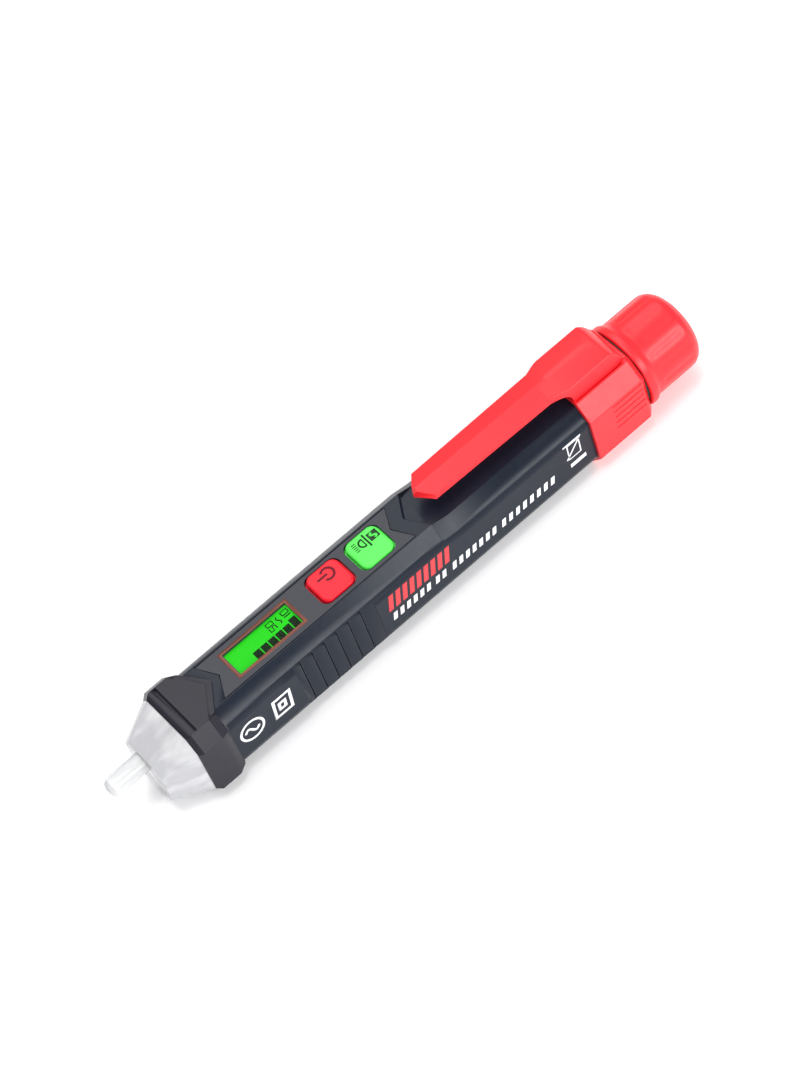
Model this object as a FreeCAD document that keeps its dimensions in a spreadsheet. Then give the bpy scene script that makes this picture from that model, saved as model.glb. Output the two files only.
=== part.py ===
import FreeCAD, Part
import os

import Sketcher
from FreeCAD import Placement, Rotation, Vector

# Non contact voltage tester, pen type.  Millimetres.  +X runs from the sensing
# nib to the screw cap, +Z is the side with the display and the buttons, and the
# tester lies on z = 0 on the flats of its two collars.  Every piece is drawn
# about the pen axis and then lifted by axis_height.

os.makedirs("parts", exist_ok=True)
doc = FreeCAD.newDocument("VoltageTester")
sheet = doc.addObject("Spreadsheet::Sheet", "Sizes")


# --------------------------------------------------------------------- sizes

class Size:
    """A length that knows its value and the spreadsheet expression behind it."""

    def __init__(self, value, text):
        self.value = value
        self.text = text

    @staticmethod
    def of(thing):
        return thing if isinstance(thing, Size) else Size(float(thing), repr(float(thing)))

    def __add__(self, other):
        other = Size.of(other)
        return Size(self.value + other.value, f"({self.text} + {other.text})")

    def __sub__(self, other):
        other = Size.of(other)
        return Size(self.value - other.value, f"({self.text} - {other.text})")

    def __mul__(self, other):
        other = Size.of(other)
        return Size(self.value * other.value, f"({self.text} * {other.text})")

    def __truediv__(self, other):
        other = Size.of(other)
        return Size(self.value / other.value, f"({self.text} / {other.text})")

    def __radd__(self, other):
        return Size.of(other) + self

    def __rsub__(self, other):
        return Size.of(other) - self

    def __rmul__(self, other):
        return Size.of(other) * self

    def __neg__(self):
        return Size(-self.value, f"(0 - {self.text})")


sheet_row = 0


def size(alias, value):
    """Write one driving dimension into the sheet and return it."""
    global sheet_row
    sheet_row += 1
    sheet.set(f"A{sheet_row}", alias)
    sheet.set(f"B{sheet_row}", str(value))
    sheet.setAlias(f"B{sheet_row}", alias)
    return Size(float(value), f"Sizes.{alias}")


# lengths of the visible sections, nib to tail
nib_length = size("nib_length", 9.4)
cone_length = size("cone_length", 8.3)
collar_length = size("collar_length", 8.0)
housing_length = size("housing_length", 99.2)
clip_collar_length = size("clip_collar_length", 15.6)
cap_seam = size("cap_seam", 0.5)
cap_length = size("cap_length", 17.0)

# housing section: an octagon
housing_half_width = size("housing_half_width", 9.0)
housing_half_height = size("housing_half_height", 10.38)
bevel_width = size("bevel_width", 3.45)
bevel_height = size("bevel_height", 3.6)
housing_wall = size("housing_wall", 1.6)
top_wall = size("top_wall", 2.48)
cavity_bevel_front = size("cavity_bevel_front", 1.2)
cavity_bevel_rear = size("cavity_bevel_rear", 2.5)
rear_step = size("rear_step", 1.2)
rear_side_step = size("rear_side_step", 0.7)
neck_inset = size("neck_inset", 0.35)
neck_drop = size("neck_drop", 1.08)
spigot_radius = size("spigot_radius", 8.0)
spigot_bore_radius = size("spigot_bore_radius", 6.2)
spigot_length = size("spigot_length", 10.2)
fit_gap = size("fit_gap", 0.05)
running_gap = size("running_gap", 0.08)

# nose collar
collar_half_width = size("collar_half_width", 10.3)
collar_half_height = size("collar_half_height", 11.35)
collar_bevel_width = size("collar_bevel_width", 3.05)
collar_bevel_height = size("collar_bevel_height", 3.9)
collar_chamfer = size("collar_chamfer", 1.2)
collar_ramp = size("collar_ramp", 2.0)
collar_overlap = size("collar_overlap", 4.0)
chevron_slope = size("chevron_slope", 0.66)
upper_chevron_reach = size("upper_chevron_reach", 4.7)
lower_chevron_reach = size("lower_chevron_reach", 4.2)
lower_chevron_thickness = size("lower_chevron_thickness", 0.45)
groove_width = size("groove_width", 0.8)
groove_depth = size("groove_depth", 0.55)
groove_setback = size("groove_setback", 2.2)

# clear nose cone
cone_base_half_width = size("cone_base_half_width", 9.25)
cone_base_half_height = size("cone_base_half_height", 10.3)
cone_base_bevel_width = size("cone_base_bevel_width", 2.55)
cone_base_bevel_height = size("cone_base_bevel_height", 3.25)
cone_face_half_width = size("cone_face_half_width", 6.2)
cone_face_half_height = size("cone_face_half_height", 7.6)
cone_face_bevel_width = size("cone_face_bevel_width", 2.3)
cone_face_bevel_height = size("cone_face_bevel_height", 3.25)
cone_face_drop = size("cone_face_drop", 0.3)
cone_wall = size("cone_wall", 1.1)
cone_seat = size("cone_seat", 2.6)

# sensing nib and its rod
nib_radius = size("nib_radius", 2.3)
nib_bore_radius = size("nib_bore_radius", 1.35)
nib_flange_radius = size("nib_flange_radius", 2.75)
nib_flange_thickness = size("nib_flange_thickness", 1.2)
nib_rise = size("nib_rise", 4.3)
rod_radius = size("rod_radius", 0.9)
torch_lamp_radius = size("torch_lamp_radius", 2.2)
signal_lamp_radius = size("signal_lamp_radius", 1.4)

# face panel, display window and buttons
panel_thickness = size("panel_thickness", 0.9)
panel_half_width = size("panel_half_width", 5.05)
panel_gap = size("panel_gap", 0.2)
panel_front_setback = size("panel_front_setback", 3.7)
panel_length = size("panel_length", 51.6)
panel_notch = size("panel_notch", 2.6)
window_setback = size("window_setback", 5.8)
window_length = size("window_length", 16.8)
window_half_width = size("window_half_width", 3.2)
window_thickness = size("window_thickness", 0.6)
button_length = size("button_length", 8.9)
button_half_width = size("button_half_width", 4.15)
button_corner = size("button_corner", 1.9)
button_crown = size("button_crown", 0.65)
button_gap = size("button_gap", 0.12)
button_pitch = size("button_pitch", 10.75)
button_setback = size("button_setback", 28.05)
flange_margin = size("flange_margin", 0.45)
flange_thickness = size("flange_thickness", 0.45)
flange_clearance = size("flange_clearance", 0.1)
button_travel = size("button_travel", 0.5)

# circuit board and what it carries
board_underside = size("board_underside", 6.1)
board_thickness = size("board_thickness", 0.8)
board_half_width = size("board_half_width", 6.6)
board_length = size("board_length", 59.0)
switch_side = size("switch_side", 4.6)
switch_thickness = size("switch_thickness", 1.15)
plunger_radius = size("plunger_radius", 1.0)
plunger_rise = size("plunger_rise", 0.6)
screw_radius = size("screw_radius", 0.8)
screw_head_radius = size("screw_head_radius", 1.05)
screw_head_thickness = size("screw_head_thickness", 0.6)
screw_length = size("screw_length", 4.0)
screw_offset = size("screw_offset", 5.45)

# cells (AAA) and contacts
cell_radius = size("cell_radius", 5.25)
cell_length = size("cell_length", 44.5)
cell_nub_radius = size("cell_nub_radius", 1.9)
cell_nub_length = size("cell_nub_length", 0.8)
tunnel_clearance = size("tunnel_clearance", 0.25)
contact_thickness = size("contact_thickness", 0.4)
carrier_gap = size("carrier_gap", 0.15)
bulkhead = size("bulkhead", 2.6)
strip_half_width = size("strip_half_width", 1.0)
strip_thickness = size("strip_thickness", 0.3)
spring_wire_radius = size("spring_wire_radius", 0.3)
spring_radius = size("spring_radius", 2.9)
spring_coils = size("spring_coils", 5.0)

# clip collar and pocket clip
clip_collar_half_width = size("clip_collar_half_width", 9.9)
clip_collar_top = size("clip_collar_top", 10.55)
clip_collar_bevel_width = size("clip_collar_bevel_width", 3.7)
clip_collar_bevel_height = size("clip_collar_bevel_height", 3.85)
clip_collar_chamfer = size("clip_collar_chamfer", 1.1)
clip_length = size("clip_length", 36.5)
clip_tip_half_width = size("clip_tip_half_width", 3.85)
clip_root_half_width = size("clip_root_half_width", 4.3)
clip_point = size("clip_point", 2.9)
clip_gap = size("clip_gap", 4.7)
clip_edge_thickness = size("clip_edge_thickness", 1.4)
clip_roof = size("clip_roof", 1.25)
clip_bump = size("clip_bump", 1.0)
clip_knuckle_radius = size("clip_knuckle_radius", 1.3)
clip_block_half_width = size("clip_block_half_width", 5.5)
clip_block_length = size("clip_block_length", 11.9)

# screw cap
cap_radius = size("cap_radius", 9.5)
cap_flange_radius = size("cap_flange_radius", 10.15)
cap_flange_length = size("cap_flange_length", 3.6)
cap_end_rounding = size("cap_end_rounding", 4.3)
cap_seal_bore_radius = size("cap_seal_bore_radius", 9.15)
cap_seal_bore_depth = size("cap_seal_bore_depth", 1.6)
seal_wire_radius = size("seal_wire_radius", 0.45)
flute_depth = size("flute_depth", 0.18)
flute_radius = size("flute_radius", 3.0)
flute_count = size("flute_count", 16)

# grip cut in the housing sides
grip_depth = size("grip_depth", 0.8)
grip_relief = size("grip_relief", 0.3)
grip_setback = size("grip_setback", 18.1)
grip_lead = size("grip_lead", 2.1)
grip_pitch = size("grip_pitch", 3.25)
GRIP_RIBS = 6

axis_height = collar_half_height

# stations along the pen, measured from its middle
total_length = (nib_length + cone_length + collar_length + housing_length
                + clip_collar_length + cap_seam + cap_length)
x_nib = -(total_length / 2)
x_cone = x_nib + nib_length
x_collar = x_cone + cone_length
x_housing = x_collar + collar_length
x_clip_collar = x_housing + housing_length
x_seam = x_clip_collar + clip_collar_length
x_cap = x_seam + cap_seam
x_tail = x_cap + cap_length

doc.recompute()


# ------------------------------------------------------------------- builders

def bind(thing, prop, amount):
    """Tie a property to the sheet."""
    thing.setExpression(prop, Size.of(amount).text)


def new_body(name):
    return doc.addObject("PartDesign::Body", name)


def origin_plane(body, role):
    return next(feature for feature in body.Origin.OriginFeatures if feature.Role == role)


def outline(body, role, level, points):
    """A closed straight-edged sketch on one of the body's origin planes.

    points are pairs of sizes, and every corner is held by the sheet."""
    sketch = body.newObject("Sketcher::SketchObject", "Outline")
    sketch.AttachmentSupport = [(origin_plane(body, role), "")]
    sketch.MapMode = "FlatFace"
    bind(sketch, ".AttachmentOffset.Base.z", level)
    corners = [(Size.of(a), Size.of(b)) for a, b in points]
    flat = [Vector(a.value, b.value, 0) for a, b in corners]
    count = len(flat)
    for index in range(count):
        sketch.addGeometry(Part.LineSegment(flat[index], flat[(index + 1) % count]), False)
    for index in range(count):
        sketch.addConstraint(Sketcher.Constraint("Coincident", index, 2, (index + 1) % count, 1))
    for index, corner in enumerate(corners):
        hold_corner(sketch, index, corner[0], "DistanceX", -2)
        hold_corner(sketch, index, corner[1], "DistanceY", -1)
    return sketch


def hold_corner(sketch, line, amount, kind, axis):
    """Hold the start of a sketch line at a signed distance from the origin."""
    if abs(amount.value) < 1e-9:
        sketch.addConstraint(Sketcher.Constraint("PointOnObject", line, 1, axis))
        return
    if amount.value > 0:
        held = Sketcher.Constraint(kind, -1, 1, line, 1, amount.value)
        text = amount.text
    else:
        held = Sketcher.Constraint(kind, line, 1, -1, 1, -amount.value)
        text = (-amount).text
    number = sketch.addConstraint(held)
    sketch.setExpression(f"Constraints[{number}]", text)


def pad(body, role, level, length, points):
    """Raise an outline along its plane's normal."""
    sketch = outline(body, role, level, points)
    feature = body.newObject("PartDesign::Pad", "Pad")
    feature.Profile = sketch
    bind(feature, "Length", length)
    return feature


def pocket(body, role, level, length, points):
    """Cut an outline out along its plane's normal."""
    sketch = outline(body, role, level, points)
    feature = body.newObject("PartDesign::Pocket", "Pocket")
    feature.Profile = sketch
    feature.Reversed = True
    bind(feature, "Length", length)
    return feature


def loft(body, kind, sections):
    """Straight walls through outlines across the pen: (station, points) pairs."""
    sketches = [outline(body, "YZ_Plane", station, points) for station, points in sections]
    feature = body.newObject(f"PartDesign::{kind}Loft", "Loft")
    feature.Profile = sketches[0]
    feature.Sections = sketches[1:]
    feature.Ruled = True
    return feature


def turned(body, kind, points):
    """Turn an outline of (station, radius) corners about the body's X axis."""
    sketch = outline(body, "XZ_Plane", 0, points)
    feature = body.newObject(f"PartDesign::{kind}", "Turned")
    feature.Profile = sketch
    feature.ReferenceAxis = (sketch, ["H_Axis"])
    feature.Angle = 360
    return feature


def box(x0, x1, y0, y1, z0, z1):
    block = doc.addObject("Part::Box", "Block")
    for prop, amount in (
        ("Length", Size.of(x1) - x0), ("Width", Size.of(y1) - y0), ("Height", Size.of(z1) - z0),
        ("Placement.Base.x", x0), ("Placement.Base.y", y0), ("Placement.Base.z", z0),
    ):
        bind(block, prop, amount)
    return block


def cylinder(radius, length, x, y, z, rotation=Rotation()):
    bar = doc.addObject("Part::Cylinder", "Bar")
    bar.Placement = Placement(Vector(), rotation)
    for prop, amount in (
        ("Radius", radius), ("Height", length),
        ("Placement.Base.x", x), ("Placement.Base.y", y), ("Placement.Base.z", z),
    ):
        bind(bar, prop, amount)
    return bar


ALONG_X = Rotation(Vector(0, 1, 0), 90)
ACROSS = Rotation(Vector(1, 0, 0), 90)


def along_x(radius, x0, x1, y=0, z=0):
    """A round bar parallel to the pen."""
    return cylinder(radius, Size.of(x1) - x0, x0, y, z, ALONG_X)


def upright(radius, z0, z1, x, y):
    """A round bar standing on the board."""
    return cylinder(radius, Size.of(z1) - z0, x, y, z0)


def fuse(*shapes):
    joined = doc.addObject("Part::MultiFuse", "Joined")
    joined.Shapes = list(shapes)
    return joined


def cut(base, *tools):
    result = doc.addObject("Part::Cut", "Cut")
    result.Base = base
    result.Tool = tools[0] if len(tools) == 1 else fuse(*tools)
    return result


def common(*shapes):
    shared = doc.addObject("Part::MultiCommon", "Shared")
    shared.Shapes = list(shapes)
    return shared


def group(*shapes):
    """Separate solids kept as one piece of the parts list."""
    compound = doc.addObject("Part::Compound", "Group")
    compound.Links = list(shapes)
    return compound


def picked_edges(shape, test):
    return [f"Edge{number}" for number, edge in enumerate(shape.Edges, 1) if test(edge)]


nodes = []


def node(label, piece, rise=0):
    """Name a finished piece and lift it from the pen axis to its height."""
    piece.Label = label
    bind(piece, "Placement.Base.z", axis_height + rise)
    nodes.append(piece)
    return piece


def octagon(half_width, top, bevel_y, bevel_z, bottom=None, foot_bevel_z=None):
    """Corners of the pen's eight-sided section, bottom defaulting to the top's mirror."""
    bottom = bottom or top
    foot_bevel_z = foot_bevel_z or bevel_z
    flat = half_width - bevel_y
    upper = top - bevel_z
    lower = bottom - foot_bevel_z
    return [
        (flat, top), (half_width, upper), (half_width, -lower), (flat, -bottom),
        (-flat, -bottom), (-half_width, -lower), (-half_width, upper), (-flat, top),
    ]


def rectangle(a0, a1, b0, b1):
    return [(a0, b0), (a1, b0), (a1, b1), (a0, b1)]


def mirrored(near, far, side):
    """A range on the +Y side (side 1) or its mirror image (side -1), lowest first."""
    return (near, far) if side > 0 else (-Size.of(far), -Size.of(near))


# --------------------------------------------------------- shared derived sizes

cavity_half_width = housing_half_width - housing_wall
cavity_half_height = housing_half_height - top_wall
panel_floor = housing_half_height - panel_thickness
rear_top = housing_half_height - rear_step
top_flat = housing_half_width - bevel_width
board_top = board_underside + board_thickness
switch_top = board_top + switch_thickness
neck_half_width = housing_half_width - neck_inset
neck_half_height = housing_half_height - neck_drop
x_panel = x_housing + panel_front_setback
x_panel_end = x_panel + panel_length
x_window = x_panel + window_setback
x_step = x_panel_end + 1.0
x_glass_seat_end = x_collar + cone_seat
x_housing_front = x_housing - collar_overlap
x_button = x_panel + button_setback
x_carrier = x_housing_front + fit_gap
x_board = x_carrier + 0.6
x_pocket = x_carrier + 2.6
x_screws_front = x_carrier + 1.9
x_bulkhead = x_panel + 20.6
x_cell = x_bulkhead + bulkhead + contact_thickness + fit_gap
x_screws_rear = x_bulkhead + bulkhead / 2
x_spring = x_cell + cell_length * 2 + fit_gap
x_spigot_end = x_seam + spigot_length
x_disc = x_spigot_end + strip_thickness + running_gap
tunnel_radius = cell_radius + tunnel_clearance
x_clip_tip = x_clip_collar - clip_length - 2.4
x_hinge = x_clip_collar - 2.4
clip_underside = rear_top + clip_gap
clip_edge = clip_underside + clip_edge_thickness
clip_ridge = clip_edge + clip_roof
hinge_z = clip_underside + clip_knuckle_radius


def housing_section(margin=0):
    return octagon(
        housing_half_width + margin, housing_half_height + margin,
        bevel_width + margin * 0.6, bevel_height + margin * 0.6,
    )


def neck_section(margin=0):
    return octagon(
        neck_half_width + margin, neck_half_height + margin,
        bevel_width + margin * 0.6, bevel_height + margin * 0.6,
    )


def cone_base_section(margin=0):
    return octagon(
        cone_base_half_width + margin, cone_base_half_height + margin,
        cone_base_bevel_width + margin * 0.6, cone_base_bevel_height + margin * 0.6,
    )


def panel_outline(margin=0):
    """Plan of the face panel: straight sides and a chevron notch at each end."""
    half = panel_half_width + margin
    front = x_panel - margin
    rear = x_panel_end + margin
    return [
        (front, -half), (rear, -half), (rear - panel_notch, 0), (rear, half),
        (front, half), (front + panel_notch, 0),
    ]


# ------------------------------------------------------------------- housing

def make_housing():
    body = new_body("HousingTube")
    pad(body, "YZ_Plane", x_housing_front, x_clip_collar - x_housing_front, housing_section())
    pad(body, "YZ_Plane", x_clip_collar, x_seam - x_clip_collar - 0.2, neck_section())
    # lowered rear half of the top
    shoulder = housing_half_width - 0.1
    side = housing_half_height - bevel_height - rear_side_step
    above = housing_half_height + 1.0
    wide = housing_half_width + 1.0
    for hand in (1, -1):
        pocket(body, "YZ_Plane", x_step + 3.0, x_clip_collar - x_step - 3.0, [
            (0, rear_top), (top_flat * hand, rear_top), (shoulder * hand, side),
            (wide * hand, side), (wide * hand, above), (0, above),
        ])
    pocket(body, "XY_Plane", rear_top, above - rear_top, [
        (x_step, 0), (x_step + 3.3, -top_flat), (x_clip_collar, -top_flat),
        (x_clip_collar, top_flat), (x_step + 3.3, top_flat),
    ])
    # seat of the face panel, then the openings under display and buttons
    pocket(body, "XY_Plane", panel_floor, panel_thickness + 0.5, panel_outline(panel_gap))
    opening = panel_floor - board_top
    pocket(body, "XY_Plane", board_top, opening, rectangle(
        x_window - 1.35, x_window + window_length + 1.35,
        -(window_half_width + 1.45), window_half_width + 1.45,
    ))
    well = button_length / 2 + flange_margin + 0.1
    well_half = button_half_width + flange_margin + 0.1
    for number in range(2):
        middle = x_button + button_length / 2 + button_pitch * number
        pocket(body, "XY_Plane", board_top, opening, rectangle(
            middle - well, middle + well, -well_half, well_half,
        ))
    # cavity, in two lengths, and the bore of the threaded spigot
    front_cavity = octagon(cavity_half_width, cavity_half_height,
                           cavity_bevel_front, cavity_bevel_front,
                           foot_bevel_z=cavity_bevel_front)
    rear_cavity = octagon(cavity_half_width, cavity_half_height,
                          cavity_bevel_rear, cavity_bevel_rear)
    pocket(body, "YZ_Plane", x_housing_front, x_step - x_housing_front, front_cavity)
    pocket(body, "YZ_Plane", x_step, x_seam - x_step - 1.0, rear_cavity)
    grips = [grip_cut(hand) for hand in (-1, 1)]
    spigot = along_x(spigot_radius, x_seam - 0.2, x_spigot_end)
    bore = along_x(spigot_bore_radius, x_seam - 1.2, x_spigot_end + 1.0)
    shell = fuse(body, spigot)
    node("housing", cut(shell, bore, *grips))


def grip_cut(hand):
    """Sawtooth finger grip on one side, run out through both bevels."""
    body = new_body("GripCut")
    start = x_housing + grip_setback
    face = housing_half_width
    deep = face - grip_depth
    shallow = face - grip_relief
    beyond = face + 1.0
    points = [(start, beyond * hand), (start, deep * hand)]
    tooth = start + grip_lead
    points += [(tooth, shallow * hand), (tooth, deep * hand)]
    for _ in range(GRIP_RIBS):
        tooth = tooth + grip_pitch
        points += [(tooth, shallow * hand), (tooth, deep * hand)]
    points[-1] = (tooth + 0.4, beyond * hand)
    reach = housing_half_height + 1.0
    pad(body, "XY_Plane", -reach, reach * 2, points)
    return body


# ----------------------------------------------------------------- nose pieces

def collar_section(inset=0):
    return octagon(
        collar_half_width - inset, collar_half_height - inset,
        collar_bevel_width - inset * 0.4, collar_bevel_height - inset * 0.4,
    )


def make_nose_collar():
    body = new_body("NoseCollar")
    ramp_start = x_housing - collar_ramp
    loft(body, "Additive", [
        (x_collar, collar_section(collar_chamfer * 0.75)),
        (x_collar + collar_chamfer, collar_section()),
        (ramp_start, collar_section()),
        (x_housing, collar_section(collar_chamfer * 0.75)),
    ])
    # stepped chevron that lies over the front of the housing's top
    rest = housing_half_height + fit_gap
    lower_half = lower_chevron_reach / chevron_slope
    pad(body, "XY_Plane", rest, lower_chevron_thickness, [
        (x_housing - 1.0, -lower_half), (x_housing, -lower_half),
        (x_housing + lower_chevron_reach, 0),
        (x_housing, lower_half), (x_housing - 1.0, lower_half),
    ])
    upper_half = upper_chevron_reach / chevron_slope
    pad(body, "XY_Plane", rest, collar_half_height - rest, [
        (ramp_start - 0.5, -upper_half), (ramp_start, -upper_half),
        (ramp_start + upper_chevron_reach, 0),
        (ramp_start, upper_half), (ramp_start - 0.5, upper_half),
    ])
    # seats for the cone and the housing, and the passage between them
    pocket(body, "YZ_Plane", x_collar, cone_seat, cone_base_section(fit_gap))
    pocket(body, "YZ_Plane", x_housing_front - fit_gap, collar_overlap + fit_gap,
           housing_section(fit_gap))
    passage = octagon(cavity_half_width, cavity_half_height, bevel_width, bevel_height)
    pocket(body, "YZ_Plane", x_collar, collar_length, passage)
    flat = collar_half_width - collar_bevel_width - 0.2
    pocket(body, "XY_Plane", collar_half_height - groove_depth, groove_depth + 0.5, rectangle(
        x_collar + groove_setback, x_collar + groove_setback + groove_width, -flat, flat,
    ))
    node("nose_collar", body)


def make_nose_cone():
    body = new_body("NoseCone")

    def face_section(inset=0):
        half_width = cone_face_half_width - inset
        half_height = cone_face_half_height - inset
        corners = octagon(half_width, half_height, cone_face_bevel_width, cone_face_bevel_height)
        return [(y, z - cone_face_drop) for y, z in corners]

    loft(body, "Additive", [(x_cone, face_section()), (x_collar, cone_base_section())])
    pad(body, "YZ_Plane", x_collar, cone_seat - fit_gap, cone_base_section())
    loft(body, "Subtractive", [
        (x_cone + cone_wall, face_section(cone_wall)), (x_collar, cone_base_section(-cone_wall)),
    ])
    pocket(body, "YZ_Plane", x_collar, cone_seat, cone_base_section(-cone_wall))
    hole = along_x(nib_radius + fit_gap, x_cone - 1.0, x_cone + cone_wall + 1.0, 0, nib_rise)
    node("nose_cone", cut(body, hole))


def make_nib():
    """Hollow insulating nib, its flange flattened on top to fit inside the cone."""
    body = new_body("Nib")
    dome = nib_radius * 0.55
    shank_end = x_cone + cone_wall + fit_gap
    flange_end = shank_end + nib_flange_thickness
    turned(body, "Revolution", [
        (x_nib, 0), (x_nib, nib_radius * 0.3), (x_nib + dome * 0.3, nib_radius * 0.72),
        (x_nib + dome, nib_radius), (shank_end, nib_radius), (shank_end, nib_flange_radius),
        (flange_end, nib_flange_radius), (flange_end, nib_bore_radius),
        (x_nib + nib_radius, nib_bore_radius), (x_nib + nib_radius * 0.7, 0),
    ])
    wide = nib_flange_radius + 1.0
    flat = box(shank_end - fit_gap, flange_end + 1.0, -wide, wide, nib_radius * 0.8, wide)
    node("sensor_nib", cut(body, flat), nib_rise)


def make_antenna():
    tip = x_nib + nib_radius + 0.4
    heel = x_pocket + 1.0
    rod = along_x(rod_radius, tip, heel)
    tail = box(heel - rod_radius, heel, -0.5, 0.5, 0, board_underside - nib_rise - fit_gap)
    node("antenna_rod", fuse(rod, tail), nib_rise)


def lamp(radius, x0, x1, y, z, lead_spread):
    """A round lamp facing the nose, with two leads that rise to the board."""
    tip = doc.addObject("Part::Sphere", "LampTip")
    bind(tip, "Radius", radius)
    bind(tip, "Placement.Base.x", x0 + radius)
    bind(tip, "Placement.Base.y", y)
    bind(tip, "Placement.Base.z", z)
    barrel = along_x(radius, x0 + radius, x1, y, z)
    rim = along_x(radius + 0.3, x1 - 0.8, x1, y, z)
    turn_up = x_pocket + 0.5
    pieces = [tip, barrel, rim]
    for side in (-1, 1):
        lead = Size.of(y) + lead_spread * side
        pieces.append(box(x1 - 0.2, turn_up, lead - 0.2, lead + 0.2, z - 0.2, z + 0.2))
        pieces.append(box(turn_up - 0.4, turn_up, lead - 0.2, lead + 0.2, z - 0.2,
                          board_underside - fit_gap))
    return fuse(*pieces)


def make_lamps():
    torch_front = x_cone + 2.9
    signal_front = x_cone + 4.6
    node("torch_led", group(lamp(
        torch_lamp_radius, torch_front, torch_front + 5.2, 0, -3.4, 1.5,
    )))
    signals = [lamp(signal_lamp_radius, signal_front, signal_front + 4.4, 3.4 * side, 0.4, 0.5)
               for side in (-1, 1)]
    node("signal_leds", group(*signals))


# ------------------------------------------------- face panel, display, buttons

def make_face_panel():
    body = new_body("FacePanel")
    pad(body, "XY_Plane", panel_floor, panel_thickness, panel_outline())
    pocket(body, "XY_Plane", panel_floor, panel_thickness, rectangle(
        x_window, x_window + window_length, -window_half_width, window_half_width,
    ))
    button_holes = []
    for number in range(2):
        start = x_button + button_pitch * number
        button_holes.append(rounded_block(
            start - button_gap, start + button_length + button_gap,
            button_half_width + button_gap, panel_floor - 0.5, housing_half_height + 0.5,
            button_corner,
        ))
    node("face_panel", cut(body, *button_holes))


def rounded_block(x0, x1, half_width, z0, z1, corner):
    """An upright block with rounded corners in plan."""
    body = new_body("RoundedBlock")
    feature = pad(body, "XY_Plane", z0, Size.of(z1) - z0, rectangle(
        x0, x1, -half_width, half_width,
    ))
    doc.recompute()
    fillet = body.newObject("PartDesign::Fillet", "Corners")
    upright_edges = picked_edges(feature.Shape, lambda edge: abs(edge.tangentAt(0).z) > 0.9)
    fillet.Base = (feature, upright_edges)
    bind(fillet, "Radius", corner)
    return body


def make_display():
    end = x_window + window_length
    clear = window_half_width - fit_gap
    window_top = housing_half_height - 0.1
    node("lcd_window", group(box(
        x_window + fit_gap, end - fit_gap, -clear, clear, window_top - window_thickness, window_top,
    )))
    glass_half = window_half_width + 0.7
    glass_bottom = panel_floor - 1.15
    node("lcd_glass", group(box(
        x_window - 0.6, end + 0.6, -glass_half, glass_half, glass_bottom, panel_floor - fit_gap,
    )))
    light_bottom = board_top + 0.1
    node("lcd_backlight", group(box(
        x_window - 0.1, end + 0.1, -(glass_half - 0.9), glass_half - 0.9,
        light_bottom, glass_bottom - fit_gap,
    )))
    strips = [box(x_window - 0.1, end + 0.1, *mirrored(glass_half - 0.8, glass_half - 0.2, side),
                  light_bottom, glass_bottom - fit_gap) for side in (-1, 1)]
    node("lcd_connectors", group(*strips))
    frame_half = glass_half + 0.35
    outer = box(x_window - 1.2, end + 1.2, -frame_half, frame_half,
                board_top + fit_gap, panel_floor - fit_gap)
    inner = box(x_window - 0.65, end + 0.65, -(glass_half + fit_gap), glass_half + fit_gap,
                board_top - 1.0, panel_floor + 1.0)
    node("lcd_frame", cut(outer, inner))


def make_button(label, number):
    """Keycap with a wide flange under the panel and a stem over its switch."""
    start = x_button + button_pitch * number
    middle = start + button_length / 2
    flange_top = panel_floor - flange_clearance
    flange_bottom = flange_top - flange_thickness
    cap = rounded_block(start, start + button_length, button_half_width, flange_bottom,
                        housing_half_height + button_crown, button_corner)
    flange = rounded_block(start - flange_margin, start + button_length + flange_margin,
                           button_half_width + flange_margin, flange_bottom, flange_top,
                           button_corner)
    stem_bottom = switch_top + plunger_rise + fit_gap
    stem = upright(plunger_radius + 0.4, stem_bottom, flange_bottom + 0.1, middle, 0)
    node(label, fuse(cap, flange, stem))


def make_switch(label, number):
    """Dome switch: a body on the board, and a plunger that goes down with the button."""
    middle = x_button + button_pitch * number + button_length / 2
    half = switch_side / 2
    block = box(middle - half, middle + half, -half, half, board_top, switch_top)
    hole = upright(plunger_radius + running_gap, switch_top - 0.9, switch_top + 1.0, middle, 0)
    node(label, cut(block, hole))
    node(label + "_plunger", group(upright(
        plunger_radius, switch_top - 0.3, switch_top + plunger_rise, middle, 0,
    )))


# --------------------------------------------------------- board and electronics

def screw_places():
    return [(x, screw_offset * side) for x in (x_screws_front, x_screws_rear) for side in (-1, 1)]


def make_board():
    board = box(x_board, x_board + board_length, -board_half_width, board_half_width,
                board_underside, board_top)
    holes = [upright(screw_radius + fit_gap, board_underside - 1.0, board_top + 1.0, x, y)
             for x, y in screw_places()]
    node("circuit_board", cut(board, *holes))
    screws = []
    for x, y in screw_places():
        shank = upright(screw_radius, board_top - screw_length, board_top + 0.1, x, y)
        head = upright(screw_head_radius, board_top, board_top + screw_head_thickness, x, y)
        screws.append(fuse(shank, head))
    node("board_screws", group(*screws))


def make_components():
    chip_x = x_window + window_length + 3.4
    node("control_chip", group(box(
        chip_x - 1.7, chip_x + 1.7, 2.6, 6.0, board_top, board_top + 0.8,
    )))
    sense_x = x_board + 5.6
    node("sense_amplifier", group(box(
        sense_x - 1.5, sense_x + 1.5, -2.0, 2.0, board_top, board_top + 0.8,
    )))
    small = []
    for column in range(4):
        for side in (-1, 1):
            start = x_board + 2.6 + 1.5 * column
            small.append(box(start, start + 0.8, *mirrored(3.6, 4.8, side),
                             board_top, board_top + 0.5))
    node("chip_components", group(*small))
    buzzer_x = x_pocket + 9.0
    case = upright(4.5, board_underside - 4.4, board_underside - fit_gap, buzzer_x, 0)
    port = upright(0.8, board_underside - 5.0, board_underside - 3.6, buzzer_x, 0)
    node("buzzer", cut(case, port))


# ------------------------------------------------------------ carrier and cells

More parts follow.
